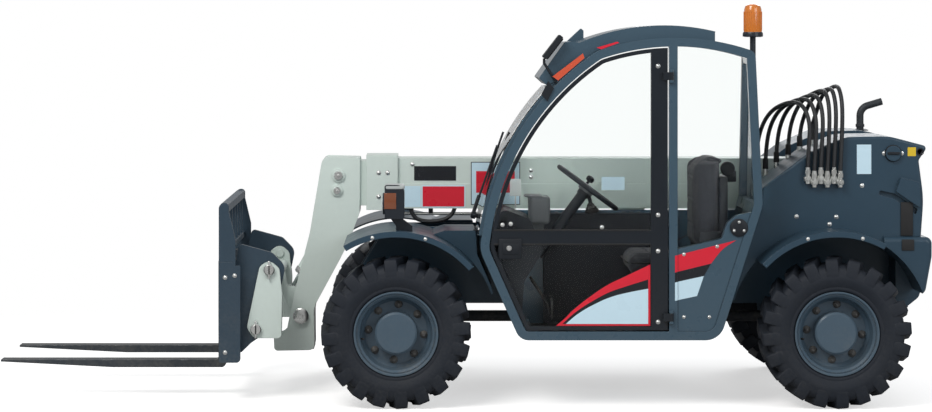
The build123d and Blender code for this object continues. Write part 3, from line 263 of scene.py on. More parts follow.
# name: colour, roughness, drift, rounding, wear, dust, reach of the dust, grain scale, grain depth, metal, coat
SOLID_FINISHES = {
    "slate_paint": ((0.024, 0.054, 0.084), 0.36, 0.10, 0.006, 0.16, 0.20, 0.80, 260, 0.00012, 0.0, 0.15),
    "cab_paint": ((0.044, 0.084, 0.120), 0.30, 0.08, 0.006, 0.15, 0.22, 0.80, 260, 0.00010, 0.0, 0.35),
    "wheel_paint": ((0.056, 0.092, 0.128), 0.38, 0.12, 0.004, 0.35, 0.42, 0.70, 220, 0.00020, 0.0, 0.15),
    "boom_paint": ((0.61, 0.70, 0.665), 0.36, 0.06, 0.005, 0.25, 0.20, 0.70, 240, 0.00012, 0.0, 0.25),
    "carriage_paint": ((0.030, 0.054, 0.080), 0.42, 0.14, 0.004, 0.55, 0.38, 0.90, 200, 0.00020, 0.0, 0.10),
    "fork_steel": ((0.034, 0.044, 0.056), 0.46, 0.20, 0.004, 0.80, 0.42, 0.80, 120, 0.00030, 0.2, 0.0),
    "axle_paint": ((0.018, 0.022, 0.028), 0.55, 0.16, 0.004, 0.35, 0.60, 0.90, 120, 0.00050, 0.0, 0.0),
    "cast_metal": ((0.10, 0.10, 0.10), 0.62, 0.18, 0.005, 0.30, 0.50, 1.20, 150, 0.0012, 0.3, 0.0),
    "door_paint": ((0.008, 0.012, 0.018), 0.32, 0.10, 0.003, 0.20, 0.20, 0.80, 300, 0.00010, 0.0, 0.20),
    "trim_plastic": ((0.009, 0.012, 0.017), 0.52, 0.12, 0.003, 0.08, 0.25, 0.80, 520, 0.00050, 0.0, 0.0),
    "lamp_plastic": ((0.014, 0.018, 0.025), 0.36, 0.10, 0.003, 0.10, 0.25, 0.80, 480, 0.00030, 0.0, 0.10),
    "rod_chrome": ((0.78, 0.79, 0.80), 0.08, 0.03, 0.001, 0.05, 0.06, 1.20, 90, 0.00003, 1.0, 0.0),
    "exhaust_steel": ((0.045, 0.050, 0.056), 0.50, 0.30, 0.002, 0.40, 0.15, 0.80, 170, 0.00030, 0.5, 0.0),
    "fitting_zinc": ((0.62, 0.63, 0.61), 0.30, 0.16, 0.001, 0.20, 0.12, 0.80, 300, 0.00010, 1.0, 0.0),
    "bolt_zinc": ((0.66, 0.67, 0.66), 0.28, 0.14, 0.001, 0.10, 0.12, 0.80, 300, 0.00008, 1.0, 0.0),
    "brown_rubber": ((0.022, 0.022, 0.023), 0.70, 0.16, 0.002, 0.0, 0.35, 0.80, 340, 0.00040, 0.0, 0.0),
    "red_vinyl": ((0.68, 0.016, 0.038), 0.30, 0.05, 0.0005, 0.0, 0.12, 0.80, 500, 0.00003, 0.0, 0.25),
    "white_vinyl": ((0.58, 0.77, 0.88), 0.30, 0.04, 0.0005, 0.0, 0.14, 0.80, 500, 0.00003, 0.0, 0.25),
    "black_vinyl": ((0.010, 0.012, 0.017), 0.24, 0.05, 0.0005, 0.0, 0.12, 0.80, 500, 0.00003, 0.0, 0.30),
    "orange_vinyl": ((0.62, 0.090, 0.040), 0.32, 0.05, 0.0005, 0.0, 0.12, 0.80, 500, 0.00003, 0.0, 0.25),
    "yellow_vinyl": ((0.72, 0.50, 0.030), 0.30, 0.05, 0.0005, 0.0, 0.12, 0.80, 500, 0.00003, 0.0, 0.25),
    "dial_face": ((0.55, 0.56, 0.54), 0.30, 0.04, 0.0005, 0.0, 0.05, 0.80, 500, 0.00002, 0.0, 0.30),
    "pale_plastic": ((0.40, 0.43, 0.43), 0.38, 0.06, 0.003, 0.05, 0.20, 0.80, 480, 0.00030, 0.0, 0.10),
    "pod_plastic": ((0.075, 0.082, 0.088), 0.50, 0.08, 0.003, 0.08, 0.20, 0.80, 520, 0.00040, 0.0, 0.0),
    "reflector": ((0.70, 0.72, 0.74), 0.10, 0.02, 0.001, 0.0, 0.05, 0.80, 200, 0.00002, 1.0, 0.0),
}


def tyre_rubber():
    """Black rubber, greyer where it is worn, with dried mud between the lugs."""
    made, tree, shader = new_material("tyre_rubber")
    edges = placed(tree, EDGES, Rounding=0.006, Wear=0.8)
    own = placed(tree, MOTTLE, Color=(0.010, 0.014, 0.022, 1), Drift=0.22)["Color"]
    rubbed = blended(tree, edges["Bare"], own, (0.034, 0.037, 0.042, 1))
    mud = placed(tree, DUST, Amount=0.35, Reach=1.3)["Mask"]
    feed(
        tree, shader,
        Base_Color=blended(tree, mud, rubbed, (0.070, 0.068, 0.064, 1)),
        Roughness=sums(tree, "ADD", 0.62, sums(tree, "MULTIPLY", mud, 0.3), clamp=True),
        Specular_IOR_Level=0.3,
        Normal=placed(tree, GRAIN, Scale=180.0, Depth=0.0010, Normal=edges["Normal"])["Normal"],
    )
    return made


def seat_cover():
    """Woven seat cloth: over and under threads as fine checks, with a little fuzz and fading."""
    made, tree, shader = new_material("seat_cover")
    place = node(tree, "SeparateXYZ", None, {0: node(tree, "TexCoord").outputs["Object"]}).outputs
    threads = 2200.0
    across = node(tree, "Math", {"operation": "SINE"}, {0: sums(tree, "MULTIPLY", place["Y"], threads)}).outputs[0]
    steep = sums(tree, "ADD", place["X"], place["Z"])
    along = node(tree, "Math", {"operation": "SINE"}, {0: sums(tree, "MULTIPLY", steep, threads)}).outputs[0]
    weave = sums(tree, "MULTIPLY", across, along)
    own = placed(tree, MOTTLE, Color=(0.018, 0.021, 0.029, 1), Drift=0.25)["Color"]
    light = sums(tree, "MULTIPLY", stretched(tree, weave, -0.4, 1.0), 0.5)
    raised = node(tree, "Bump", None, {"Height": weave, "Distance": 0.0008, "Strength": 0.7})
    feed(
        tree, shader,
        Base_Color=blended(tree, light, own, (0.048, 0.053, 0.064, 1)),
        Roughness=sums(tree, "ADD", 0.78, sums(tree, "MULTIPLY", light, 0.15), clamp=True),
        Sheen_Weight=0.15,
        Normal=raised.outputs[0],
    )
    return made


def hose_rubber():
    """Smooth black hose cover with faint wrap marks and dust."""
    made, tree, shader = new_material("hose_rubber")
    own = placed(tree, MOTTLE, Color=(0.012, 0.013, 0.016, 1), Drift=0.2)["Color"]
    dusty = placed(tree, DUST, Amount=0.3, Reach=1.6)["Mask"]
    feed(
        tree, shader,
        Base_Color=blended(tree, dusty, own, (0.12, 0.12, 0.12, 1)),
        Roughness=sums(tree, "ADD", 0.38, sums(tree, "MULTIPLY", noise(tree, 40.0, 3.0), 0.25)),
        Normal=placed(tree, GRAIN, Scale=700.0, Depth=0.0004)["Normal"],
    )
    return made


def lens(name, colour, rough):
    """Moulded lens plastic: light shines a little way in through some transmission, and a faint emission in its own
    colour is a painted glow.
    """
    made, tree, shader = new_material(name)
    own = placed(tree, MOTTLE, Color=(*colour, 1), Drift=0.16)["Color"]
    feed(
        tree, shader,
        Base_Color=own,
        Roughness=sums(tree, "ADD", rough, sums(tree, "MULTIPLY", noise(tree, 30.0, 3.0), 0.08)),
        Transmission_Weight=0.25,
        Coat_Weight=0.6,
        # Painted glow: the emission lights the lens though no lamp is inside it.
        Emission_Color=own,
        Emission_Strength=0.12,
        IOR=1.49,
    )
    return made


def cab_glass():
    """Safety glass with a faint green tint and wipe marks."""
    made, tree, shader = new_material("cab_glass")
    marks = stretched(tree, noise(tree, 2.4, 6.0, (1, 1, 2.6)), 0.40, 0.90)
    feed(
        tree, shader,
        Base_Color=(0.975, 0.99, 0.985, 1),
        Roughness=sums(tree, "ADD", 0.01, sums(tree, "MULTIPLY", marks, 0.03)),
        Transmission_Weight=1.0,
        IOR=1.10,
    )
    return made


def all_finishes():
    """Every material by its name; the record's slots are among the names."""
    made = {}
    for name, row in SOLID_FINISHES.items():
        colour, rough, drift, rounding, wear, dust, reach, scale, depth, metal, coat = row
        bare = (0.45, 0.45, 0.45, 1) if name == "fork_steel" else PRIMER
        made[name] = surface(
            name, colour, rough, drift, rounding, wear, dust, reach, scale, depth, bare=bare, metal=metal, coat=coat
        )
    made["tyre_rubber"] = tyre_rubber()
    made["seat_cover"] = seat_cover()
    made["hose_rubber"] = hose_rubber()
    made["amber_lens"] = lens("amber_lens", (0.62, 0.19, 0.020), 0.12)
    made["dark_amber_lens"] = lens("dark_amber_lens", (0.20, 0.055, 0.018), 0.12)
    made["red_lens"] = lens("red_lens", (0.45, 0.012, 0.012), 0.12)
    made["clear_lens"] = lens("clear_lens", (0.62, 0.66, 0.68), 0.10)
    made["cab_glass"] = cab_glass()
    return made


FINISHES = all_finishes()
for part in frame["record"]["subparts"]:
    for slot in NODES[part["node"]].material_slots:
        slot.material = FINISHES[part["material_slot"]]


# ------------------------------------------------------------------ modelling helpers
def only(*pieces):
    """Select these pieces alone, the first one active."""
    bpy.ops.object.select_all(action="DESELECT")
    for piece in pieces:
        piece.select_set(True)
    bpy.context.view_layer.objects.active = pieces[0]


def settle(piece):
    """Put the piece's place, turn and size into its mesh."""
    only(piece)
    bpy.ops.object.transform_apply(location=True, rotation=True, scale=True)
    return piece


@contextmanager
def shaping(piece):
    """Edit mode on one piece."""
    only(piece)
    bpy.ops.object.mode_set(mode="EDIT")
    yield
    bpy.ops.object.mode_set(mode="OBJECT")


def pick(piece, kind, test):
    """In edit mode, select the corners, edges or faces whose middle passes the test."""
    bpy.ops.mesh.select_mode(type=kind)
    bpy.ops.mesh.select_all(action="DESELECT")
    mesh = bmesh.from_edit_mesh(piece.data)
    for item in {"VERT": mesh.verts, "EDGE": mesh.edges, "FACE": mesh.faces}[kind]:
        corners = [item.co] if kind == "VERT" else [v.co for v in item.verts]
        item.select_set(bool(test(sum(corners, Vector()) / len(corners))))
    mesh.select_flush_mode()
    bmesh.update_edit_mesh(piece.data)


def welded():
    """In edit mode, merge what lies on one spot and turn every face outwards."""
    bpy.ops.mesh.select_all(action="SELECT")
    bpy.ops.mesh.remove_doubles(threshold=0.00001)
    bpy.ops.mesh.normals_make_consistent(inside=False)


def modified(piece, kind, **settings):
    """Add a modifier, set it and apply it."""
    only(piece)
    bpy.ops.object.modifier_add(type=kind)
    modifier = piece.modifiers[-1]
    for key, value in settings.items():
        setattr(modifier, key, value)
    bpy.ops.object.modifier_apply(modifier=modifier.name)
    return piece


def rounded(piece, width, segments=2):
    return modified(piece, "BEVEL", width=width, segments=segments, limit_method="ANGLE",
                    angle_limit=math.radians(40))


def block(low, high, rounding=0.003, segments=2):
    """A squared block between two corners, its edges rounded."""
    low, high = Vector(low), Vector(high)
    bpy.ops.mesh.primitive_cube_add(size=1, location=(low + high) / 2, scale=high - low)
    piece = settle(bpy.context.object)
    return rounded(piece, rounding, segments) if rounding else piece


def brick(low, high, rounding=0.003, segments=2):
    """A block on the machine, its corners given as at() takes them."""
    return block(at(*low), at(*high), rounding, segments)


def aimed(piece, place, axis):
    """Turn a piece drawn round Z at the origin on to an axis through a place."""
    piece.rotation_mode = "QUATERNION"
    piece.rotation_quaternion = Vector(axis).to_track_quat("Z", "Y")
    piece.location = place
    settle(piece)
    piece.rotation_mode = "XYZ"
    return piece


def turned(place, axis, rings, steps=32, open_ends=False):
    """A round piece by its rings, each (radius, height along the axis); closed by its end faces, or ring to ring."""
    radius, height = rings[0]
    fill = "NOTHING" if open_ends else "NGON"
    bpy.ops.mesh.primitive_circle_add(vertices=steps, radius=radius, fill_type=fill, location=(0, 0, height))
    piece = settle(bpy.context.object)
    with shaping(piece):
        bpy.ops.mesh.select_all(action="SELECT")
        for next_radius, next_height in list(rings[1:]) + ([rings[0]] if open_ends else []):
            drawn_out = bpy.ops.mesh.extrude_edges_move if open_ends else bpy.ops.mesh.extrude_region_move
            drawn_out(TRANSFORM_OT_translate={"value": (0, 0, next_height - height)})
            share = next_radius / radius
            bpy.ops.transform.resize(value=(share, share, 1))
            radius, height = next_radius, next_height
        welded()
    return aimed(piece, place, axis)


def joined(*pieces):
    """Several pieces as one."""
    if len(pieces) > 1:
        only(*pieces)
        bpy.ops.object.join()
    return pieces[0]


def duplicate(piece):
    only(piece)
    bpy.ops.object.duplicate(linked=False)
    return bpy.context.object


def copies(source, spots):
    """The source, drawn round Z at the origin, copied to each (place, axis), as one piece."""
    made = [aimed(duplicate(source), place, axis) for place, axis in spots]
    bpy.data.objects.remove(source)
    return joined(*made)


def mirror_twin(piece):
    """The piece's twin on the other side of the machine."""
    twin = duplicate(piece)
    twin.scale = (1, -1, 1)
    settle(twin)
    with shaping(twin):
        bpy.ops.mesh.select_all(action="SELECT")
        bpy.ops.mesh.normals_make_consistent(inside=False)
    return twin


def path_curve(points, radius, resolution=8):
    """A round bar or hose along the smooth line that the points control."""
    curve = bpy.data.curves.new("line", "CURVE")
    curve.dimensions = "3D"
    curve.bevel_depth, curve.bevel_resolution, curve.use_fill_caps = radius, 4, True
    line = curve.splines.new("NURBS")
    line.points.add(len(points) - 1)
    for spot, place in zip(line.points, points):
        spot.co = (*place, 1)
    line.order_u, line.use_endpoint_u, line.resolution_u = 3, True, resolution
    made = bpy.data.objects.new("line", curve)
    bpy.context.scene.collection.objects.link(made)
    return made


def bent_bar(points, radius, resolution=8):
    """A bent steel bar or pipe on the machine, as a mesh; its points are given as at() takes them."""
    made = path_curve([at(*point) for point in points], radius, resolution)
    only(made)
    bpy.ops.object.convert(target="MESH")
    return settle(bpy.context.object)


CORNER, SMOOTH = "VECTOR", "AUTO"


def side_sheet(outline, y, thickness):
    """A thin sheet seen from the side: outline of (x, z) or (x, z, SMOOTH), its outer face at y + thickness."""
    curve = bpy.data.curves.new("sheet", "CURVE")
    curve.dimensions, curve.fill_mode, curve.extrude, curve.resolution_u = "2D", "BOTH", thickness / 2, 10
    line = curve.splines.new("BEZIER")
    line.bezier_points.add(len(outline) - 1)
    for spot, (x, z, *kind) in zip(line.bezier_points, outline):
        spot.co = (x, z, 0)
        spot.handle_left_type = spot.handle_right_type = kind[0] if kind else CORNER
    line.use_cyclic_u = True
    made = bpy.data.objects.new("sheet", curve)
    bpy.context.scene.collection.objects.link(made)
    made.rotation_euler = (math.pi / 2, 0, 0)
    made.location = at(0, y + thickness / 2, 0)
    only(made)
    bpy.ops.object.convert(target="MESH")
    piece = settle(bpy.context.object)
    with shaping(piece):
        welded()
    return piece


def dress(piece, name, body, finish, smooth=35, replaces=()):
    """Name a finished piece, give it its finish, and let it ride."""
    piece.name = piece.data.name = name
    piece.data.materials.clear()
    piece.data.materials.append(FINISHES[finish])
    if piece.type == "MESH":
        only(piece)
        bpy.ops.object.shade_smooth_by_angle(angle=math.radians(smooth))
    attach(piece, body)
    if replaces:
        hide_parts(*replaces)
    return piece


def hex_bolt(radius, height=None):
    """A washer and a hexagon head round Z at the origin."""
    height = height or radius * 0.9
    washer = turned((0, 0, 0), (0, 0, 1), [(radius * 1.5, 0), (radius * 1.5, radius * 0.25)], 20)
    head = turned(
        (0, 0, 0), (0, 0, 1),
        [(radius * 1.12, radius * 0.2), (radius * 1.12, height), (radius * 0.95, height + radius * 0.2)], 6,
    )
    return joined(washer, head)


def dome_bolt(radius):
    """A flat washer and a round head."""
    rings = [
        (radius * 1.35, 0), (radius * 1.35, radius * 0.2), (radius, radius * 0.25),
        (radius * 0.92, radius * 0.55), (radius * 0.6, radius * 0.8), (radius * 0.2, radius * 0.88),
    ]
    return turned((0, 0, 0), (0, 0, 1), rings, 20)


LEFT, RIGHT, UP, AHEAD, BACK = (0, 1, 0), (0, -1, 0), (0, 0, 1), (1, 0, 0), (-1, 0, 0)


# ------------------------------------------------------------------ wheels
TYRE_OUT = 0.386  # radius at the lugs
LUGS = 20
LUG_WIDE = 0.060
TREAD_HALF = 0.120
HUB_IN = 0.132  # from a tyre's outer face to the middle of its wheel's fittings
STUD_CIRCLE = 0.143


def lug():
    """One lug, drawn at the top of a wheel whose axle is Z: a slanted bar that folds over the shoulder."""
    low, high = (-LUG_WIDE * 0.6, TYRE_OUT - 0.042, 0.004), (LUG_WIDE * 0.6, TYRE_OUT - 0.0040, TREAD_HALF - 0.010)
    piece = block(low, high, 0)
    with shaping(piece):
        pick(piece, "FACE", lambda c: c.z > high[2] - 0.001)
        bpy.ops.mesh.extrude_region_move(TRANSFORM_OT_translate={"value": (0, -0.007, 0.0095)})
        bpy.ops.mesh.extrude_region_move(TRANSFORM_OT_translate={"value": (0, -0.046, 0.0105)})
        bpy.ops.transform.resize(value=(0.86, 1, 1))
        pick(piece, "VERT", lambda c: c.y > TYRE_OUT - 0.012)
        bpy.ops.transform.resize(value=(0.82, 1, 1))
        pick(piece, "FACE", lambda c: c.z < 0.0045)
        bpy.ops.transform.translate(value=(0.036, 0, 0))
    return rounded(piece, 0.0035, 2)


def tread_row(phase, flip):
    """Twenty lugs round the axle; flip turns the row to the wheel's inner side."""
    piece = lug()
    if flip:
        piece.rotation_euler = (0, math.pi, 0)
        settle(piece)
    pitch = 2 * math.pi / LUGS
    piece.rotation_euler = (0, 0, phase * pitch)
    settle(piece)
    turner = bpy.data.objects.new("turner", None)
    bpy.context.scene.collection.objects.link(turner)
    turner.rotation_euler = (0, 0, pitch)
    bpy.context.view_layer.update()
    modified(piece, "ARRAY", count=LUGS, use_relative_offset=False, use_object_offset=True, offset_object=turner)
    bpy.data.objects.remove(turner)
    return piece


def tyre():
    """Carcass with bulged side walls, rim guard and two rings of rubber, under two rows of lugs."""
    outer = [
        (0.199, 0.104), (0.217, 0.109), (0.222, 0.1165), (0.231, 0.1195), (0.239, 0.1178), (0.247, 0.1225),
        (0.272, 0.1295), (0.294, 0.1318), (0.298, 0.1302), (0.312, 0.1300), (0.324, 0.1255), (0.338, 0.118),
        (0.347, 0.104), (0.351, 0.080),
    ]
    inner = [(radius, -height + 0.012 if height > 0.11 else -height) for radius, height in reversed(outer)]
    carcass = turned((0, 0, 0), UP, [*outer, (0.352, 0), *inner], 96, open_ends=True)
    return joined(carcass, tread_row(0.25, False), tread_row(0.75, True))


def wheel_nuts():
    """Eight studs, cones and nuts round the hub."""
    nut = turned((0, 0, 0), UP, [(0.0145, 0), (0.0145, 0.012), (0.0125, 0.014)], 6)
    stud = turned((0, 0, 0), UP, [(0.0075, 0.010), (0.0075, 0.022), (0.006, 0.024)], 12)
    cone = turned((0, 0, 0), UP, [(0.021, 0), (0.0165, 0.004)], 20)
    spots = []
    for i in range(8):
        angle = math.radians(i * 45 - 5)
        spots.append(((STUD_CIRCLE * math.cos(angle), STUD_CIRCLE * math.sin(angle), 0.0165), UP))
    return copies(joined(nut, stud, cone), spots)


def valve():
    """Valve stem and its cap."""
    stem = turned((0.186, 0.030, 0.040), (-0.6, 0, 1), [(0.005, 0), (0.005, 0.024), (0.0035, 0.026)], 12)
    cap = turned((0.1715, 0.030, 0.064), (-0.6, 0, 1), [(0.0055, 0), (0.0055, 0.011), (0.004, 0.013)], 12)
    return joined(stem, cap)


def wheels():
    """Tyres, nuts and valves, modelled once round Z and stood on each axle, outer face outwards."""
    sources = {
        "tyre": (tyre(), "tyre_rubber", "tyre_rubber"),
        "nuts": (wheel_nuts(), "cast_metal", "fitting_zinc"),
        "valve": (valve(), "brown_rubber", "trim_plastic"),
    }
    for wheel in WHEELS:
        side = 1 if wheel.endswith("l") else -1
        hub = middle(f"rim_{wheel}")
        hub.y = side * (HALF_WIDTH - HUB_IN)
        for kind, (source, finish, slot) in sources.items():
            piece = duplicate(source)
            piece.rotation_euler = (-side * math.pi / 2, 0, 0)
            piece.location = hub
            settle(piece)
            replaces = (f"tyre_{wheel}",) if kind == "tyre" else ()
            dress(piece, f"{kind}_{wheel}_rubber" if kind == "tyre" else f"wheel_{kind}_{wheel}",
                  f"wheel_{wheel}", finish, 40, replaces)
    for source, _, _ in sources.values():
        bpy.data.objects.remove(source)


# ------------------------------------------------------------------ hydraulic hoses
HOSE_RADIUS = 0.011
HOSE_LINES = {  # x, y and z of the points that draw each hose, from its outer fitting to its inner one
    "a": [(-2.134, .646, 1.223), (-2.140, .646, 1.338), (-2.148, .641, 1.451), (-2.119, .592, 1.548),
          (-2.063, .478, 1.562), (-1.982, .352, 1.512), (-1.937, .276, 1.416), (-1.917, .250, 1.291),
          (-1.915, .250, 1.200)],
    "b": [(-2.168, .646, 1.205), (-2.174, .646, 1.320), (-2.182, .641, 1.468), (-2.160, .592, 1.565),
          (-2.122, .478, 1.579), (-2.036, .352, 1.529), (-1.988, .276, 1.433), (-1.968, .250, 1.307),
          (-1.966, .250, 1.215)],
    "c": [(-2.202, .646, 1.223), (-2.208, .646, 1.338), (-2.216, .641, 1.488), (-2.200, .592, 1.585),
          (-2.175, .478, 1.599), (-2.092, .352, 1.549), (-2.046, .276, 1.453), (-2.026, .250, 1.335),
          (-2.024, .250, 1.250)],
    "d": [(-2.236, .646, 1.205), (-2.242, .646, 1.320), (-2.250, .641, 1.512), (-2.240, .592, 1.609),
          (-2.228, .478, 1.623), (-2.150, .352, 1.573), (-2.109, .276, 1.477), (-2.089, .250, 1.369),
          (-2.087, .250, 1.290)],
    "e": [(-2.270, .646, 1.223), (-2.276, .646, 1.338), (-2.284, .641, 1.521), (-2.275, .592, 1.618),
          (-2.268, .478, 1.632), (-2.202, .352, 1.582), (-2.170, .276, 1.486), (-2.150, .250, 1.398),
          (-2.148, .250, 1.335)],
    "f": [(-2.303, .646, 1.205), (-2.309, .646, 1.320), (-2.317, .641, 1.535), (-2.308, .592, 1.632),
          (-2.301, .478, 1.646), (-2.252, .352, 1.596), (-2.234, .276, 1.500), (-2.214, .250, 1.425),
          (-2.212, .250, 1.370)],
}


def hoses():
    """Six hoses from the elbows on the left body's flank, over its top and down on its inner side, as one set."""
    for letter, points in HOSE_LINES.items():
        places = [at(*point) for point in points]
        hose = path_curve(places, HOSE_RADIUS, 12)
        dress(hose, f"hose_{letter}", "chassis", "hose_rubber", replaces=("hoses",))


def hose_sleeves():
    """Banjo rings at the outer fittings, and black sleeves over the hoses' inner ends."""
    rings, sleeves = [], []
    for points in HOSE_LINES.values():
        x, y, z = points[0]
        rings.append(turned(at(x, y - 0.026, z - 0.060), LEFT, [(0.018, 0), (0.020, 0.003), (0.020, 0.030),
                                                                (0.017, 0.034)], 24))
        rings.append(turned(at(x, y + 0.006, z - 0.060), LEFT, [(0.0125, 0), (0.0125, 0.012), (0.010, 0.014)], 6))
        rings.append(turned(at(x, y, z - 0.034), UP, [(0.0155, 0), (0.0155, 0.020), (0.0135, 0.022)], 6))
        x, y, z = points[-1]
        sleeves.append(turned(at(x, y, z - 0.020), UP, [(0.0150, 0), (0.0155, 0.004), (0.0145, 0.052),
                                                        (0.0125, 0.056)], 20))
    dress(joined(*rings), "hose_unions", "chassis", "fitting_zinc")
    dress(joined(*sleeves), "hose_sleeves", "chassis", "brown_rubber")


# ------------------------------------------------------------------ seat
def plumped(piece, most, floor=None):
    """Blow a closed pad up a little as cloth, no point moving further than most; floor is not used."""
    modified(piece, "REMESH", mode="VOXEL", voxel_size=0.006)
    before = [spot.co.copy() for spot in piece.data.vertices]
    only(piece)
    bpy.ops.object.modifier_add(type="CLOTH")
    cloth = piece.modifiers[-1]
    cloth.settings.use_pressure = True
    cloth.settings.uniform_pressure_force = 4.0
    cloth.settings.effector_weights.gravity = 0.0
    cloth.collision_settings.use_collision = False
    for frame_number in range(1, 21):
        bpy.context.scene.frame_set(frame_number)
    bpy.ops.object.modifier_apply(modifier=cloth.name)
    bpy.context.scene.frame_set(1)
    for spot, start in zip(piece.data.vertices, before):
        move = spot.co - start
        if move.length > most:
            spot.co = start + move.normalized() * most
    return piece


def sewn(piece, test, depth):
    """Draw the cover in along a seam."""
    with shaping(piece):
        pick(piece, "VERT", test)
        bpy.ops.transform.shrink_fatten(value=-depth)
    return piece


def rested(piece, low):
    """Nothing of the piece reaches below the surface that it rests on."""
    for spot in piece.data.vertices:
        spot.co.z = max(spot.co.z, low)
    return piece


def upholstered(pad, name, low):
    """Smooth a pad, rest it on its base and give it its cover."""
    modified(pad, "SUBSURF", levels=1, render_levels=1)
    rested(pad, low)
    dress(pad, name, "chassis", "seat_cover", smooth=60, replaces=("seat_cushions",))


def seat_pads():
    """Seat cushion and back: cloth over foam, with sewn channels between the middle and its side wings."""
    low, high = at(-1.612, 0.310, 0.684), at(-1.188, 0.750, 0.772)
    cushion = block(low, high, 0.032, 4)
    with shaping(cushion):
        pick(cushion, "FACE", lambda c: c.x > high.x - 0.001)
        bpy.ops.transform.resize(value=(1, 0.90, 0.85))
    plumped(cushion, 0.014)
    for y in (0.395, 0.665):
        sewn(cushion, lambda c: c.z > 0.74 and abs(c.y - y) < 0.005, 0.008)
    for x in (-1.30, -1.44):
        sewn(cushion, lambda c: c.z > 0.74 and abs(c.x - AXLE_X - x) < 0.005 and 0.395 < c.y < 0.665, 0.007)
    upholstered(cushion, "seat_cushion", 0.6805)

    back = brick((-1.660, 0.325, 0.800), (-1.548, 0.735, 1.268), 0.030, 4)
    with shaping(back):
        pick(back, "FACE", lambda c: c.z > 1.26)
        bpy.ops.transform.resize(value=(0.85, 0.80, 1))
        bpy.ops.transform.translate(value=(-0.046, 0, 0))
        pick(back, "FACE", lambda c: c.z < 0.805)
        bpy.ops.transform.resize(value=(0.85, 0.92, 1))
    plumped(back, 0.014)
    for z in (0.93, 1.06, 1.18):
        sewn(back, lambda c: abs(c.z - z) < 0.005 and 0.395 < c.y < 0.665 and c.x > AXLE_X - 1.585 - (z - 0.8) * 0.12,
             0.007)
    for y in (0.395, 0.665):
        sewn(back, lambda c: abs(c.y - y) < 0.005 and c.x > AXLE_X - 1.590 - (c.z - 0.8) * 0.12, 0.008)
    upholstered(back, "seat_backrest", 0.7905)


def seat_fittings():
    """Piping, hinge brackets, belt with its reel and buckle, and the mat on the floor."""
    welt = [(-1.19, .330), (-1.19, .530), (-1.19, .730), (-1.26, .752), (-1.60, .752), (-1.615, .700), (-1.615, .360),
            (-1.60, .308), (-1.26, .308), (-1.19, .330)]
    piping = bent_bar([(x, y, 0.735) for x, y in welt], 0.0045, 6)
    dress(piping, "seat_piping", "chassis", "brown_rubber")
    brackets = [
        brick((-1.690, y, 0.700), (-1.560, y + 0.008, 0.900), 0.003) for y in (0.296, 0.756)
    ]
    plate = brick((-1.712, 0.340, 0.800), (-1.664, 0.720, 1.180), 0.014, 3)
    dress(joined(*brackets, plate), "seat_shell", "chassis", "trim_plastic")
    reel = turned(at(-1.755, 0.300, 1.200), LEFT, [(0.036, 0), (0.038, 0.004), (0.038, 0.040), (0.034, 0.045)], 28)
    holder = brick((-1.800, 0.302, 1.130), (-1.725, 0.340, 1.190), 0.006)
    buckle = brick((-1.470, 0.286, 0.770), (-1.430, 0.299, 0.840), 0.004)
    dress(joined(reel, holder, buckle), "belt_reel", "chassis", "trim_plastic")
    webbing = [(-1.735, .315, 1.205), (-1.690, .320, 1.120), (-1.650, .312, 0.950), (-1.560, .300, 0.850),
               (-1.480, .294, 0.812)]
    belt = bent_bar(webbing, 0.0035, 8)
    dress(belt, "belt_webbing", "chassis", "seat_cover")
    mat = brick((-1.180, 0.300, 0.3715), (-0.700, 0.780, 0.378), 0.002)
    dress(mat, "floor_mat", "chassis", "brown_rubber")


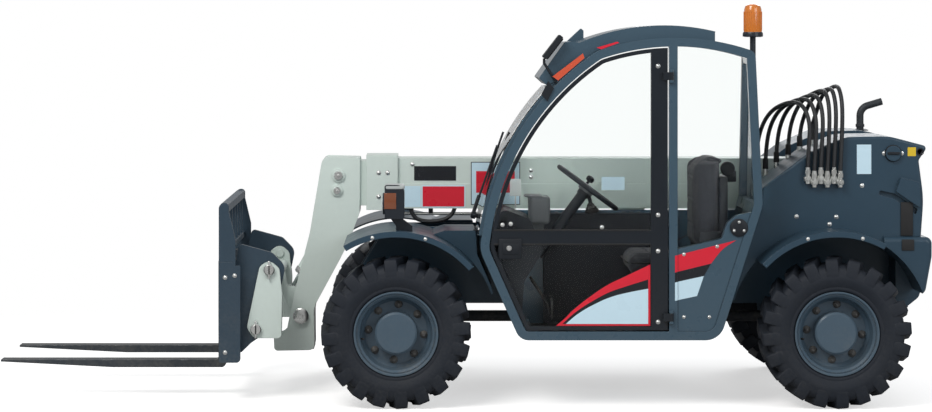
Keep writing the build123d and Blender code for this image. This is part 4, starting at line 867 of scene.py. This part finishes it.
# ------------------------------------------------------------------ stripes and plates
GLASS_Y, QUARTER_Y, TUBE_Y = 0.858, 0.864, 0.870  # outer faces of the door's glass, the panel behind it and the tubes
FILM = 0.0006  # thickness of one layer
PROUD = 0.0002  # clear of the face under it
STRIPES = [  # name, body, finish, y, layer, outline
    ("door_stripe_red", "cab_door_body", "red_vinyl", GLASS_Y, 0,
     [(-.816, .424), (-.860, .460, SMOOTH), (-.903, .503, SMOOTH), (-1.015, .590, SMOOTH), (-1.090, .638, SMOOTH),
      (-1.165, .674, SMOOTH), (-1.300, .738), (-1.300, .424)]),
    ("door_stripe_black", "cab_door_body", "black_vinyl", GLASS_Y, 1,
     [(-.850, .434), (-.915, .492, SMOOTH), (-1.020, .560, SMOOTH), (-1.095, .598, SMOOTH), (-1.170, .624, SMOOTH),
      (-1.288, .661), (-1.288, .434)]),
    ("door_stripe_white", "cab_door_body", "white_vinyl", GLASS_Y, 2,
     [(-.868, .434), (-.925, .482, SMOOTH), (-1.025, .540, SMOOTH), (-1.100, .572, SMOOTH), (-1.175, .592, SMOOTH),
      (-1.288, .614), (-1.288, .434)]),
    ("quarter_stripe_red", "chassis", "red_vinyl", QUARTER_Y, 0,
     [(-1.4385, .786), (-1.737, .862), (-1.670, .817, SMOOTH), (-1.609, .743), (-1.4385, .701)]),
    ("quarter_stripe_black", "chassis", "black_vinyl", QUARTER_Y, 0,
     [(-1.4385, .700), (-1.608, .742), (-1.573, .680), (-1.4385, .651)]),
    ("quarter_stripe_white", "chassis", "white_vinyl", QUARTER_Y, 0,
     [(-1.4385, .650), (-1.572, .679), (-1.537, .577), (-1.4385, .556)]),
    ("post_stripe_red", "chassis", "red_vinyl", TUBE_Y, 0, [(-1.424, .783), (-1.4375, .786), (-1.4375, .701),
                                                            (-1.424, .697)]),
    ("post_stripe_black", "chassis", "black_vinyl", TUBE_Y, 0, [(-1.424, .696), (-1.4375, .700), (-1.4375, .651),
                                                                (-1.424, .647)]),
    ("post_stripe_white", "chassis", "white_vinyl", TUBE_Y, 0, [(-1.424, .646), (-1.4375, .650), (-1.4375, .556),
                                                                (-1.424, .553)]),
    ("roof_strip_front", "chassis", "orange_vinyl", TUBE_Y, 0,
     [(-.799, 1.698), (-.828, 1.678), (-.962, 1.792), (-.954, 1.816)]),
    ("roof_strip_rear", "chassis", "red_vinyl", TUBE_Y, 0,
     [(-1.023, 1.845), (-1.048, 1.837), (-1.141, 1.870), (-1.129, 1.876)]),
]
BOOM_Y, FOLD_Y = 0.120, 0.123  # the boom's side above and below its fold
FOLD_Z = 1.108
PLATES = [  # name, finish, y, layer, x from and to, z from and to
    ("boom_plate_dark", "black_vinyl", BOOM_Y, 1, -.316, -.090, 1.125, 1.203),
    ("boom_sign_border", "white_vinyl", FOLD_Y, 0, -.366, -.129, .980, 1.100),
    ("boom_sign_red", "red_vinyl", FOLD_Y, 1, -.360, -.136, .986, 1.094),
    ("boom_sign_square", "white_vinyl", FOLD_Y, 0, -.126, -.030, .983, 1.096),
    ("boom_panel_edge", "black_vinyl", FOLD_Y, 0, -.661, -.396, .994, 1.226),
    ("boom_panel_white", "white_vinyl", FOLD_Y, 1, -.657, -.400, .998, 1.222),
    ("boom_panel_red", "red_vinyl", FOLD_Y, 2, -.632, -.424, 1.060, 1.176),
]
BODY_Y = 0.620
LABELS = [
    ("body_label_white", "white_vinyl", BODY_Y, 0, -2.468, -2.393, 1.187, 1.340),
    ("body_label_yellow", "yellow_vinyl", BODY_Y, 0, -2.700, -2.657, 1.280, 1.326),
]


def stripes():
    """Films on the cab, and blank plates and labels on the boom and the rear body."""
    for name, body, finish, y, layer, outline in STRIPES:
        sheet = side_sheet(outline, y + PROUD + layer * FILM, FILM)
        dress(sheet, name, body, finish)
    for rows, body, slot in ((PLATES, "boom", "boom_paint"), (LABELS, "chassis", "slate_paint")):
        for name, finish, y, layer, x_low, x_high, z_low, z_high in rows:
            lift = PROUD + layer * FILM
            low, high = at(x_low, y + lift, z_low), at(x_high, y + lift + FILM, z_high)
            if y == FOLD_Y and z_high > FOLD_Z:
                low.y = BOOM_Y + lift
            dress(block(low, high, 0), name, body, finish)


# ------------------------------------------------------------------ bolts
BOLTS = [  # name, body, radius, y, places as (x, z)
    ("door_band_bolts", "cab_door_body", 0.0085, 0.866, [(-1.338, 1.751), (-1.338, .991), (-1.338, .807),
                                                         (-1.338, .445)]),
    ("door_glass_bolts", "cab_door_body", 0.0080, 0.859, [(-1.052, .928), (-.544, .940), (-.586, .945)]),
    ("boom_side_bolts", "boom", 0.0090, 0.120, [(-.081, 1.213), (-.720, 1.180), (-.720, 1.145)]),
    ("boom_collar_bolts", "boom", 0.0095, 0.138, [(.100, 1.168), (.052, 1.168), (.100, 1.040), (.052, 1.040)]),
    ("body_side_bolts", "chassis", 0.0085, 0.620, [(-2.420, 1.127), (-2.079, .966), (-2.286, .964), (-1.968, .790),
                                                   (-2.251, .926),
                                                   (-2.535, 1.295), (-2.626, 1.295)]),
    ("quarter_panel_bolts", "chassis", 0.0070, 0.864, [(-1.470, .470), (-1.470, .790), (-1.600, .470),
                                                       (-1.640, .830)]),
    ("fender_lip_bolts", "chassis", 0.0070, 0.888, [(-.150, .870), (.120, .876), (-2.100, .870), (-2.380, .872)]),
    ("carriage_side_bolts", "carriage", 0.0085, 0.632, [(.890, .650), (.840, .660), (.890, .260)]),
]


def bolts():
    """Round-headed bolts on the left side, and their twins on the right."""
    for name, body, radius, y, places in BOLTS:
        row = copies(dome_bolt(radius), [(at(x, y, z), LEFT) for x, z in places])
        dress(row, name, body, "bolt_zinc")
        if body != "cab_door_body" and not name.startswith("quarter"):
            twin = mirror_twin(row)
            dress(twin, name + "_right", body, "bolt_zinc")


# ------------------------------------------------------------------ cab outside
def door_fittings():
    """Latch box with its push button, seal along the waist, round cap on the rear quarter."""
    box = brick((-.643, .866, .765), (-.524, .880, .870), 0.006, 3)
    lip = brick((-.630, .880, .790), (-.545, .884, .845), 0.002, 2)
    button = turned(at(-.577, .884, .822), LEFT, [(0.014, 0), (0.014, 0.003), (0.011, 0.006)], 24)
    dress(joined(box, lip), "door_latch", "cab_door_body", "trim_plastic")
    dress(button, "door_button", "cab_door_body", "bolt_zinc")
    for name, z in (("waist_seal_low", .840), ("waist_seal_high", .912)):
        dress(brick((-1.300, .857, z - .003), (-.500, .868, z + .005), 0.0015), name, "cab_door_body", "brown_rubber")
    rear_cap = turned(at(-1.751, .864, .926), LEFT, [(0.046, 0), (0.046, 0.008), (0.040, 0.012), (0.018, 0.013)], 36)
    dress(rear_cap, "quarter_cap", "chassis", "trim_plastic")
    small = copies(dome_bolt(0.0055), [
        (at(-1.751 + 0.029 * math.cos(turn), .876, .926 + 0.029 * math.sin(turn)), LEFT) for turn in (1.57, 3.67,
                                                                                                      5.76)
    ])
    dress(small, "quarter_cap_bolts", "chassis", "bolt_zinc")
    bracket = side_sheet([(-.742, 1.606), (-.772, 1.572), (-.806, 1.640), (-.776, 1.676)], .8702, .010)
    dress(bracket, "mirror_bracket", "chassis", "trim_plastic")


def mirror():
    """Mirror glass on the plate's rear face, in a thin frame."""
    normal = Vector((-0.792, 0, -0.610))
    place = at(-.8105, .8375, 1.8405)
    frame_piece = block((-.056, -.066, .0005), (.056, .066, .005), 0.003)
    glass = block((-.050, -.060, .005), (.050, .060, .0065), 0.001)
    dress(aimed(frame_piece, place, normal), "mirror_frame", "chassis", "trim_plastic")
    dress(aimed(glass, place, normal), "mirror_glass", "chassis", "reflector")


def beacon():
    """Amber dome with upright flutes on a dark base and foot."""
    centre = middle("beacon")
    foot = turned((centre.x, centre.y, 1.899), UP, [(0.040, 0), (0.052, 0.003), (0.052, 0.018), (0.049, 0.026)], 40)
    stem = turned((centre.x, centre.y, 1.800), UP, [(0.015, 0), (0.015, 0.101)], 24)
    dress(joined(foot, stem), "beacon_base", "chassis", "lamp_plastic", replaces=("beacon",))
    rings = [(0.046, 0), (0.0465, 0.004), (0.0455, 0.090), (0.044, 0.118), (0.038, 0.134), (0.026, 0.142),
             (0.010, 0.145)]
    dome = turned((centre.x, centre.y, 1.9252), UP, rings, 48)
    rib = block((0.0435, -.0014, 1.932), (0.0478, .0014, 2.030), 0.0006, 1)
    ribs = []
    for i in range(24):
        one = duplicate(rib)
        one.rotation_euler = (0, 0, i * math.pi / 12)
        one.location = (centre.x, centre.y, 0)
        ribs.append(settle(one))
    bpy.data.objects.remove(rib)
    dress(joined(dome, *ribs), "beacon_lens", "chassis", "amber_lens", replaces=("beacon",))


def wipers():
    """Wiper arm with its spring housing, and a blade with holder and rubber on the windscreen."""
    y = 0.530
    pivot = turned(at(-.404, y, .968), (1, 0, 0.25), [(0.020, -.010), (0.020, 0.010), (0.014, 0.016)], 24)
    housing = bent_bar([(-.400, y, .974), (-.412, y - .006, 1.010), (-.432, y - .016, 1.070)], 0.010, 8)
    holder = bent_bar([(-.452, y - .030, 1.020), (-.470, y - .036, 1.120), (-.520, y - .056, 1.290),
                       (-.560, y - .070, 1.400)], 0.006, 10)
    dress(joined(pivot, housing, holder), "wiper_arm", "chassis", "trim_plastic")
    rubber = bent_bar([(-.470, y - .030, 1.010), (-.492, y - .036, 1.120), (-.545, y - .056, 1.290),
                       (-.590, y - .070, 1.400)], 0.0045, 10)
    dress(rubber, "wiper_rubber", "chassis", "brown_rubber")
    nozzle = brick((-.424, y + .060, .886), (-.400, y + .085, .898), 0.003)
    dress(nozzle, "washer_nozzle", "chassis", "trim_plastic")


# ------------------------------------------------------------------ lamps
def lamps():
    """Front lamps: pale cap, round headlamp in a bezel, amber side indicator; small tail lamps behind."""
    for side, suffix in ((1, "left"), (-1, "right")):
        y = side * .800
        cap = brick((-.0445, y - .0665, 1.116), (.0595, y + .0665, 1.1455), 0.013, 4)
        dress(cap, "lamp_cap_" + suffix, "chassis", "pale_plastic")
        bezel = turned(at(.058, y, 1.045), AHEAD, [(0.056, 0), (0.056, 0.008), (0.051, 0.011), (0.048, 0.006)], 40)
        dress(bezel, "headlamp_bezel_" + suffix, "chassis", "lamp_plastic")
        bowl = turned(at(.0642, y, 1.045), AHEAD, [(0.0475, 0), (0.046, 0.004), (0.034, 0.008), (0.014, 0.010)], 40)
        dress(bowl, "headlamp_glass_" + suffix, "chassis", "clear_lens")
        outer = .8652 if side > 0 else -.8692
        amber = brick((-.001, outer, 1.021), (.0605, outer + .004, 1.103), 0.0018)
        dress(amber, "indicator_" + suffix, "chassis", "dark_amber_lens")
        tail = brick((-2.7445, y * .6 - .030, .985), (-2.735, y * .6 + .030, 1.125), 0.004)
        dress(tail, "tail_lamp_" + suffix, "chassis", "red_lens")


# ------------------------------------------------------------------ rear body and chassis
def rear_body_fittings():
    """Filler cap's grip, strap over the body's joint, hood catch, exhaust clamp."""
    grip = brick((-2.612, .637, 1.288), (-2.550, .645, 1.302), 0.003)
    rim = turned(at(-2.581, .620, 1.295), LEFT, [(0.044, 0), (0.044, 0.010), (0.041, 0.014)], 40)
    dress(joined(grip, rim), "filler_cap_grip", "chassis", "trim_plastic")
    strap = brick((-2.684, .6205, .866), (-2.620, .6275, 1.041), 0.003)
    tail = brick((-2.684, .6552, .792), (-2.620, .6612, .850), 0.003)
    dress(joined(strap, tail), "weight_strap", "chassis", "brown_rubber")
    # Painted shade: a thin black disc stands for the dark inside of a recess in the body side.
    recess_shade_disc = turned(at(-2.722, .619, 1.302), LEFT, [(0.020, 0), (0.020, 0.0025), (0.016, 0.0025), (0.014, 0.001)], 28)
    dress(recess_shade_disc, "body_plug", "chassis", "black_vinyl")
    clamp = turned(at(-2.594, -.500, 1.392), UP, [(0.0225, 0), (0.0245, 0.002), (0.0245, 0.016), (0.0225, 0.018)], 28)
    foot = turned(at(-2.594, -.500, 1.372), UP, [(0.046, 0), (0.046, 0.004), (0.032, 0.010)], 32)
    dress(joined(clamp, foot), "exhaust_clamp", "chassis", "exhaust_steel")
    for name, x in (("hood_catch_front", -.640), ("hood_catch_rear", -1.650)):
        catch = brick((x - .018, -.8785, .690), (x + .018, -.8705, .752), 0.004)
        dress(catch, name, "engine_lid", "brown_rubber")


# ------------------------------------------------------------------ boom, head and carriage
def boom_fittings():
    """Pipes and a hose under the boom, pin caps on the head and the coupler."""
    pipes = []
    for y in (.074, .092):
        pipes.append(bent_bar([(.030, y, .985), (.020, y, .950), (-.080, y, .944), (-.900, y, .944),
                               (-1.560, y, .944),
                               (-1.640, y, .950), (-1.650, y, .985)], 0.0075, 10))
    dress(joined(*pipes), "boom_pipes", "boom", "fitting_zinc")
    clips = [brick((x - .012, .060, .948), (x + .012, .106, .976), 0.003) for x in (-.180, -.620, -1.060, -1.500)]
    dress(joined(*clips), "boom_pipe_clips", "boom", "trim_plastic")
    loop = bent_bar([(-.070, .100, .980), (-.080, .100, .930), (-.140, .100, .902), (-.240, .100, .906),
                     (-.300, .100, .940),
                     (-.310, .100, .980)], 0.011, 10)
    dress(loop, "boom_hose_loop", "boom", "hose_rubber")
    caps = []
    for x, z, radius, y, body in (
        (.519, .398, .042, .136, "carriage"), (.317, 1.152, .024, .131, "boom_slide"), (.324, 1.071, .020, .131,
                                                                                        "boom_slide"),
    ):
        cap = turned(at(x, y, z), LEFT, [(radius, 0), (radius, 0.008), (radius * .85, 0.012), (radius * .4, 0.012)],
                     36)
        head = copies(hex_bolt(radius * .26), [(at(x, y + .011, z), LEFT)])
        left = joined(cap, head)
        right = mirror_twin(left)
        name = f"pin_cap_{len(caps)}"
        caps.append(name)
        dress(joined(left, right), name, body, "bolt_zinc")
    pins = []
    for x, z in ((.665, .684), (.735, .373)):
        for side in (1, -1):
            y = side * .562
            pins.append(turned(at(x, y, z), (0, side, 0), [(0.027, -.004), (0.029, 0.002), (0.029, 0.010),
                                                           (0.024, 0.014)], 28))
            pins.append(brick((x - .006, y - .006 if side > 0 else y - .014, z - .046),
                              (x + .006, y + .014 if side > 0 else y + .006, z + .046), 0.003))
    dress(joined(*pins), "coupler_pin_heads", "carriage", "bolt_zinc")


def cylinder_fittings():
    """Gland rings at the barrels' ends and hose unions at their ports."""
    for name, body, base, eye, dead, radius in (
        ("lift_gland", "lift_cylinder", (-2.070, .540), (-1.250, .868), .150, .058),
        ("tilt_gland", "tilt_cylinder", (.345, .925), (.573, .514), .110, .040),
    ):
        base, eye = at(base[0], 0, base[1]), at(eye[0], 0, eye[1])
        way = (eye - base).normalized()
        end = eye - way * dead
        ring = turned(end - way * .030, way, [(radius + .004, 0), (radius + .005, .003), (radius + .005, .026),
                                              (radius - .002, .032)], 36)
        port = turned(end - way * .060 + Vector((0, radius - .006, 0)), LEFT, [(.013, 0), (.013, .018), (.010, .021)],
                      6)
        dress(joined(ring, port), name, body, "bolt_zinc")


# ------------------------------------------------------------------ cab inside
def cab_inside():
    """Instrument pod with dials, control lever boot, switches, pedals, a blank card on the right window."""
    pod = brick((-.800, .440, .925), (-.690, .620, 1.075), 0.022, 4)
    with shaping(pod):
        pick(pod, "FACE", lambda c: c.z > 1.07)
        bpy.ops.transform.translate(value=(0.030, 0, 0))
    neck = brick((-.770, .500, .860), (-.700, .560, .935), 0.010)
    dress(joined(pod, neck), "instrument_pod", "chassis", "pod_plastic")
    faces, rings = [], []
    facing = Vector((-0.98, 0, 0.20))
    for y, radius in ((.490, .032), (.565, .032)):
        place = at(-.790, y, 1.010)
        faces.append(turned(place, facing, [(radius, 0), (radius, .004), (radius * .3, .0042)], 36))
        rings.append(turned(place, facing, [(radius + .006, -.004), (radius + .006, .007), (radius, .008),
                                            (radius, .003)], 36))
    dress(joined(*faces), "dials", "chassis", "dial_face")
    dress(joined(*rings), "dial_bezels", "chassis", "trim_plastic")
    boot = turned(at(-1.040, .264, .960), (0.2, 0, 1), [(.040, 0), (.036, .010), (.039, .014), (.028, .024),
                                                        (.031, .028), (.019, .040),
                                                        (.021, .044), (.011, .056)], 28)
    dress(boot, "lever_boot", "chassis", "brown_rubber")
    switches = [brick((x, .246, .9595), (x + .022, .276, .967), 0.003) for x in (-1.300, -1.260, -1.220, -.940, -.900,
                                                                                 -.860)]
    dress(joined(*switches), "console_switches", "chassis", "pod_plastic")
    pedals = []
    for y in (.430, .600):
        pedals.append(brick((-.812, y, .440), (-.800, y + .075, .540), 0.004))
        pedals.append(bent_bar([(-.806, y + .037, .460), (-.760, y + .037, .560), (-.700, y + .037, .640)], 0.007, 8))
    dress(joined(*pedals), "pedals", "chassis", "brown_rubber")
    dress(brick((-1.216, .2225, 1.080), (-1.093, .2235, 1.151), 0), "window_card", "chassis", "white_vinyl")
    plate = brick((-.651, .520, 1.067), (-.593, .524, 1.156), 0.001)
    holder = bent_bar([(-.622, .522, 1.000), (-.622, .522, 1.070)], 0.004, 4)
    dress(joined(plate, holder), "card_holder", "chassis", "pale_plastic")
    way = Vector((-0.594876, 0, 0.803817))
    wheel_centre = at(-.999, .530, 1.111)
    boss = turned(wheel_centre + way * .004, way, [(.042, -.030), (.046, -.012), (.044, 0), (.030, .010),
                                                   (.010, .012)], 36)
    dress(boss, "steering_boss", "steering", "pod_plastic")
    knob_place = wheel_centre + Vector((0, -.182, 0))
    knob = turned(knob_place, way, [(.008, .008), (.008, .026), (.020, .030), (.023, .042), (.020, .054),
                                    (.008, .060)], 24)
    dress(knob, "steering_knob", "steering", "trim_plastic")


# ------------------------------------------------------------------ run
camera()
hoses()
hose_sleeves()
wheels()
seat_pads()
seat_fittings()
stripes()
bolts()
door_fittings()
mirror()
beacon()
wipers()
lamps()
rear_body_fittings()
boom_fittings()
cylinder_fittings()
cab_inside()


def stage():
    """A floor that keeps the soft shadow and goes over into white, a white surround and soft lamps."""
    bpy.ops.mesh.primitive_plane_add(size=120, location=(0, 0, 0))
    floor = bpy.context.object
    floor.name = "floor"
    made, tree, shader = new_material("floor")
    spot = node(tree, "SeparateXYZ", None, {0: node(tree, "TexCoord").outputs["Object"]}).outputs
    along = sums(tree, "MULTIPLY", sums(tree, "ADD", spot["X"], 0.8), 0.55)
    squares = [sums(tree, "POWER", sums(tree, "ABSOLUTE", way), 2.0) for way in (along, spot["Y"])]
    far = stretched(tree, sums(tree, "SQRT", sums(tree, "ADD", *squares)), 1.4, 4.2)
    rays = node(tree, "LightPath").outputs
    seen = sums(tree, "MAXIMUM", rays["Is Camera Ray"], rays["Is Transmission Ray"])
    lit = blended(tree, seen, (0.45, 0.45, 0.45, 1), blended(tree, far, (0.80, 0.80, 0.80, 1), (0, 0, 0, 1)))
    glow = sums(tree, "ADD", 0.55, sums(tree, "MULTIPLY", far, 0.45))
    feed(
        tree, shader,
        Base_Color=lit,
        Roughness=1.0,
        Specular_IOR_Level=0.0,
        Emission_Color=(1, 1, 1, 1),
        Emission_Strength=sums(tree, "MULTIPLY", glow, seen),
    )
    floor.data.materials.append(made)
    world = bpy.data.worlds.new("studio")
    bpy.context.scene.world = world
    world.use_nodes = True
    tree = world.node_tree
    rays = node(tree, "LightPath").outputs
    seen = sums(tree, "MAXIMUM", rays["Is Camera Ray"], rays["Is Transmission Ray"])
    strength = sums(tree, "ADD", 0.5, sums(tree, "MULTIPLY", seen, 0.5))
    background = tree.nodes["Background"]
    background.inputs["Color"].default_value = (1, 1, 1, 1)
    tree.links.new(strength, background.inputs["Strength"])
    softbox("key", (3.5, 6.0, 7.0), (0, 0, 0.8), 4.0, 470, (1.0, 0.98, 0.95))
    softbox("fill", (-6.0, 7.0, 4.0), (0, 0, 0.8), 4.0, 180, (0.94, 0.97, 1.0))
    softbox("rear", (-3.0, -7.0, 5.0), (0, 0, 0.8), 4.0, 200, (0.96, 0.98, 1.0))


stage()
bpy.context.scene.view_settings.view_transform = "Standard"
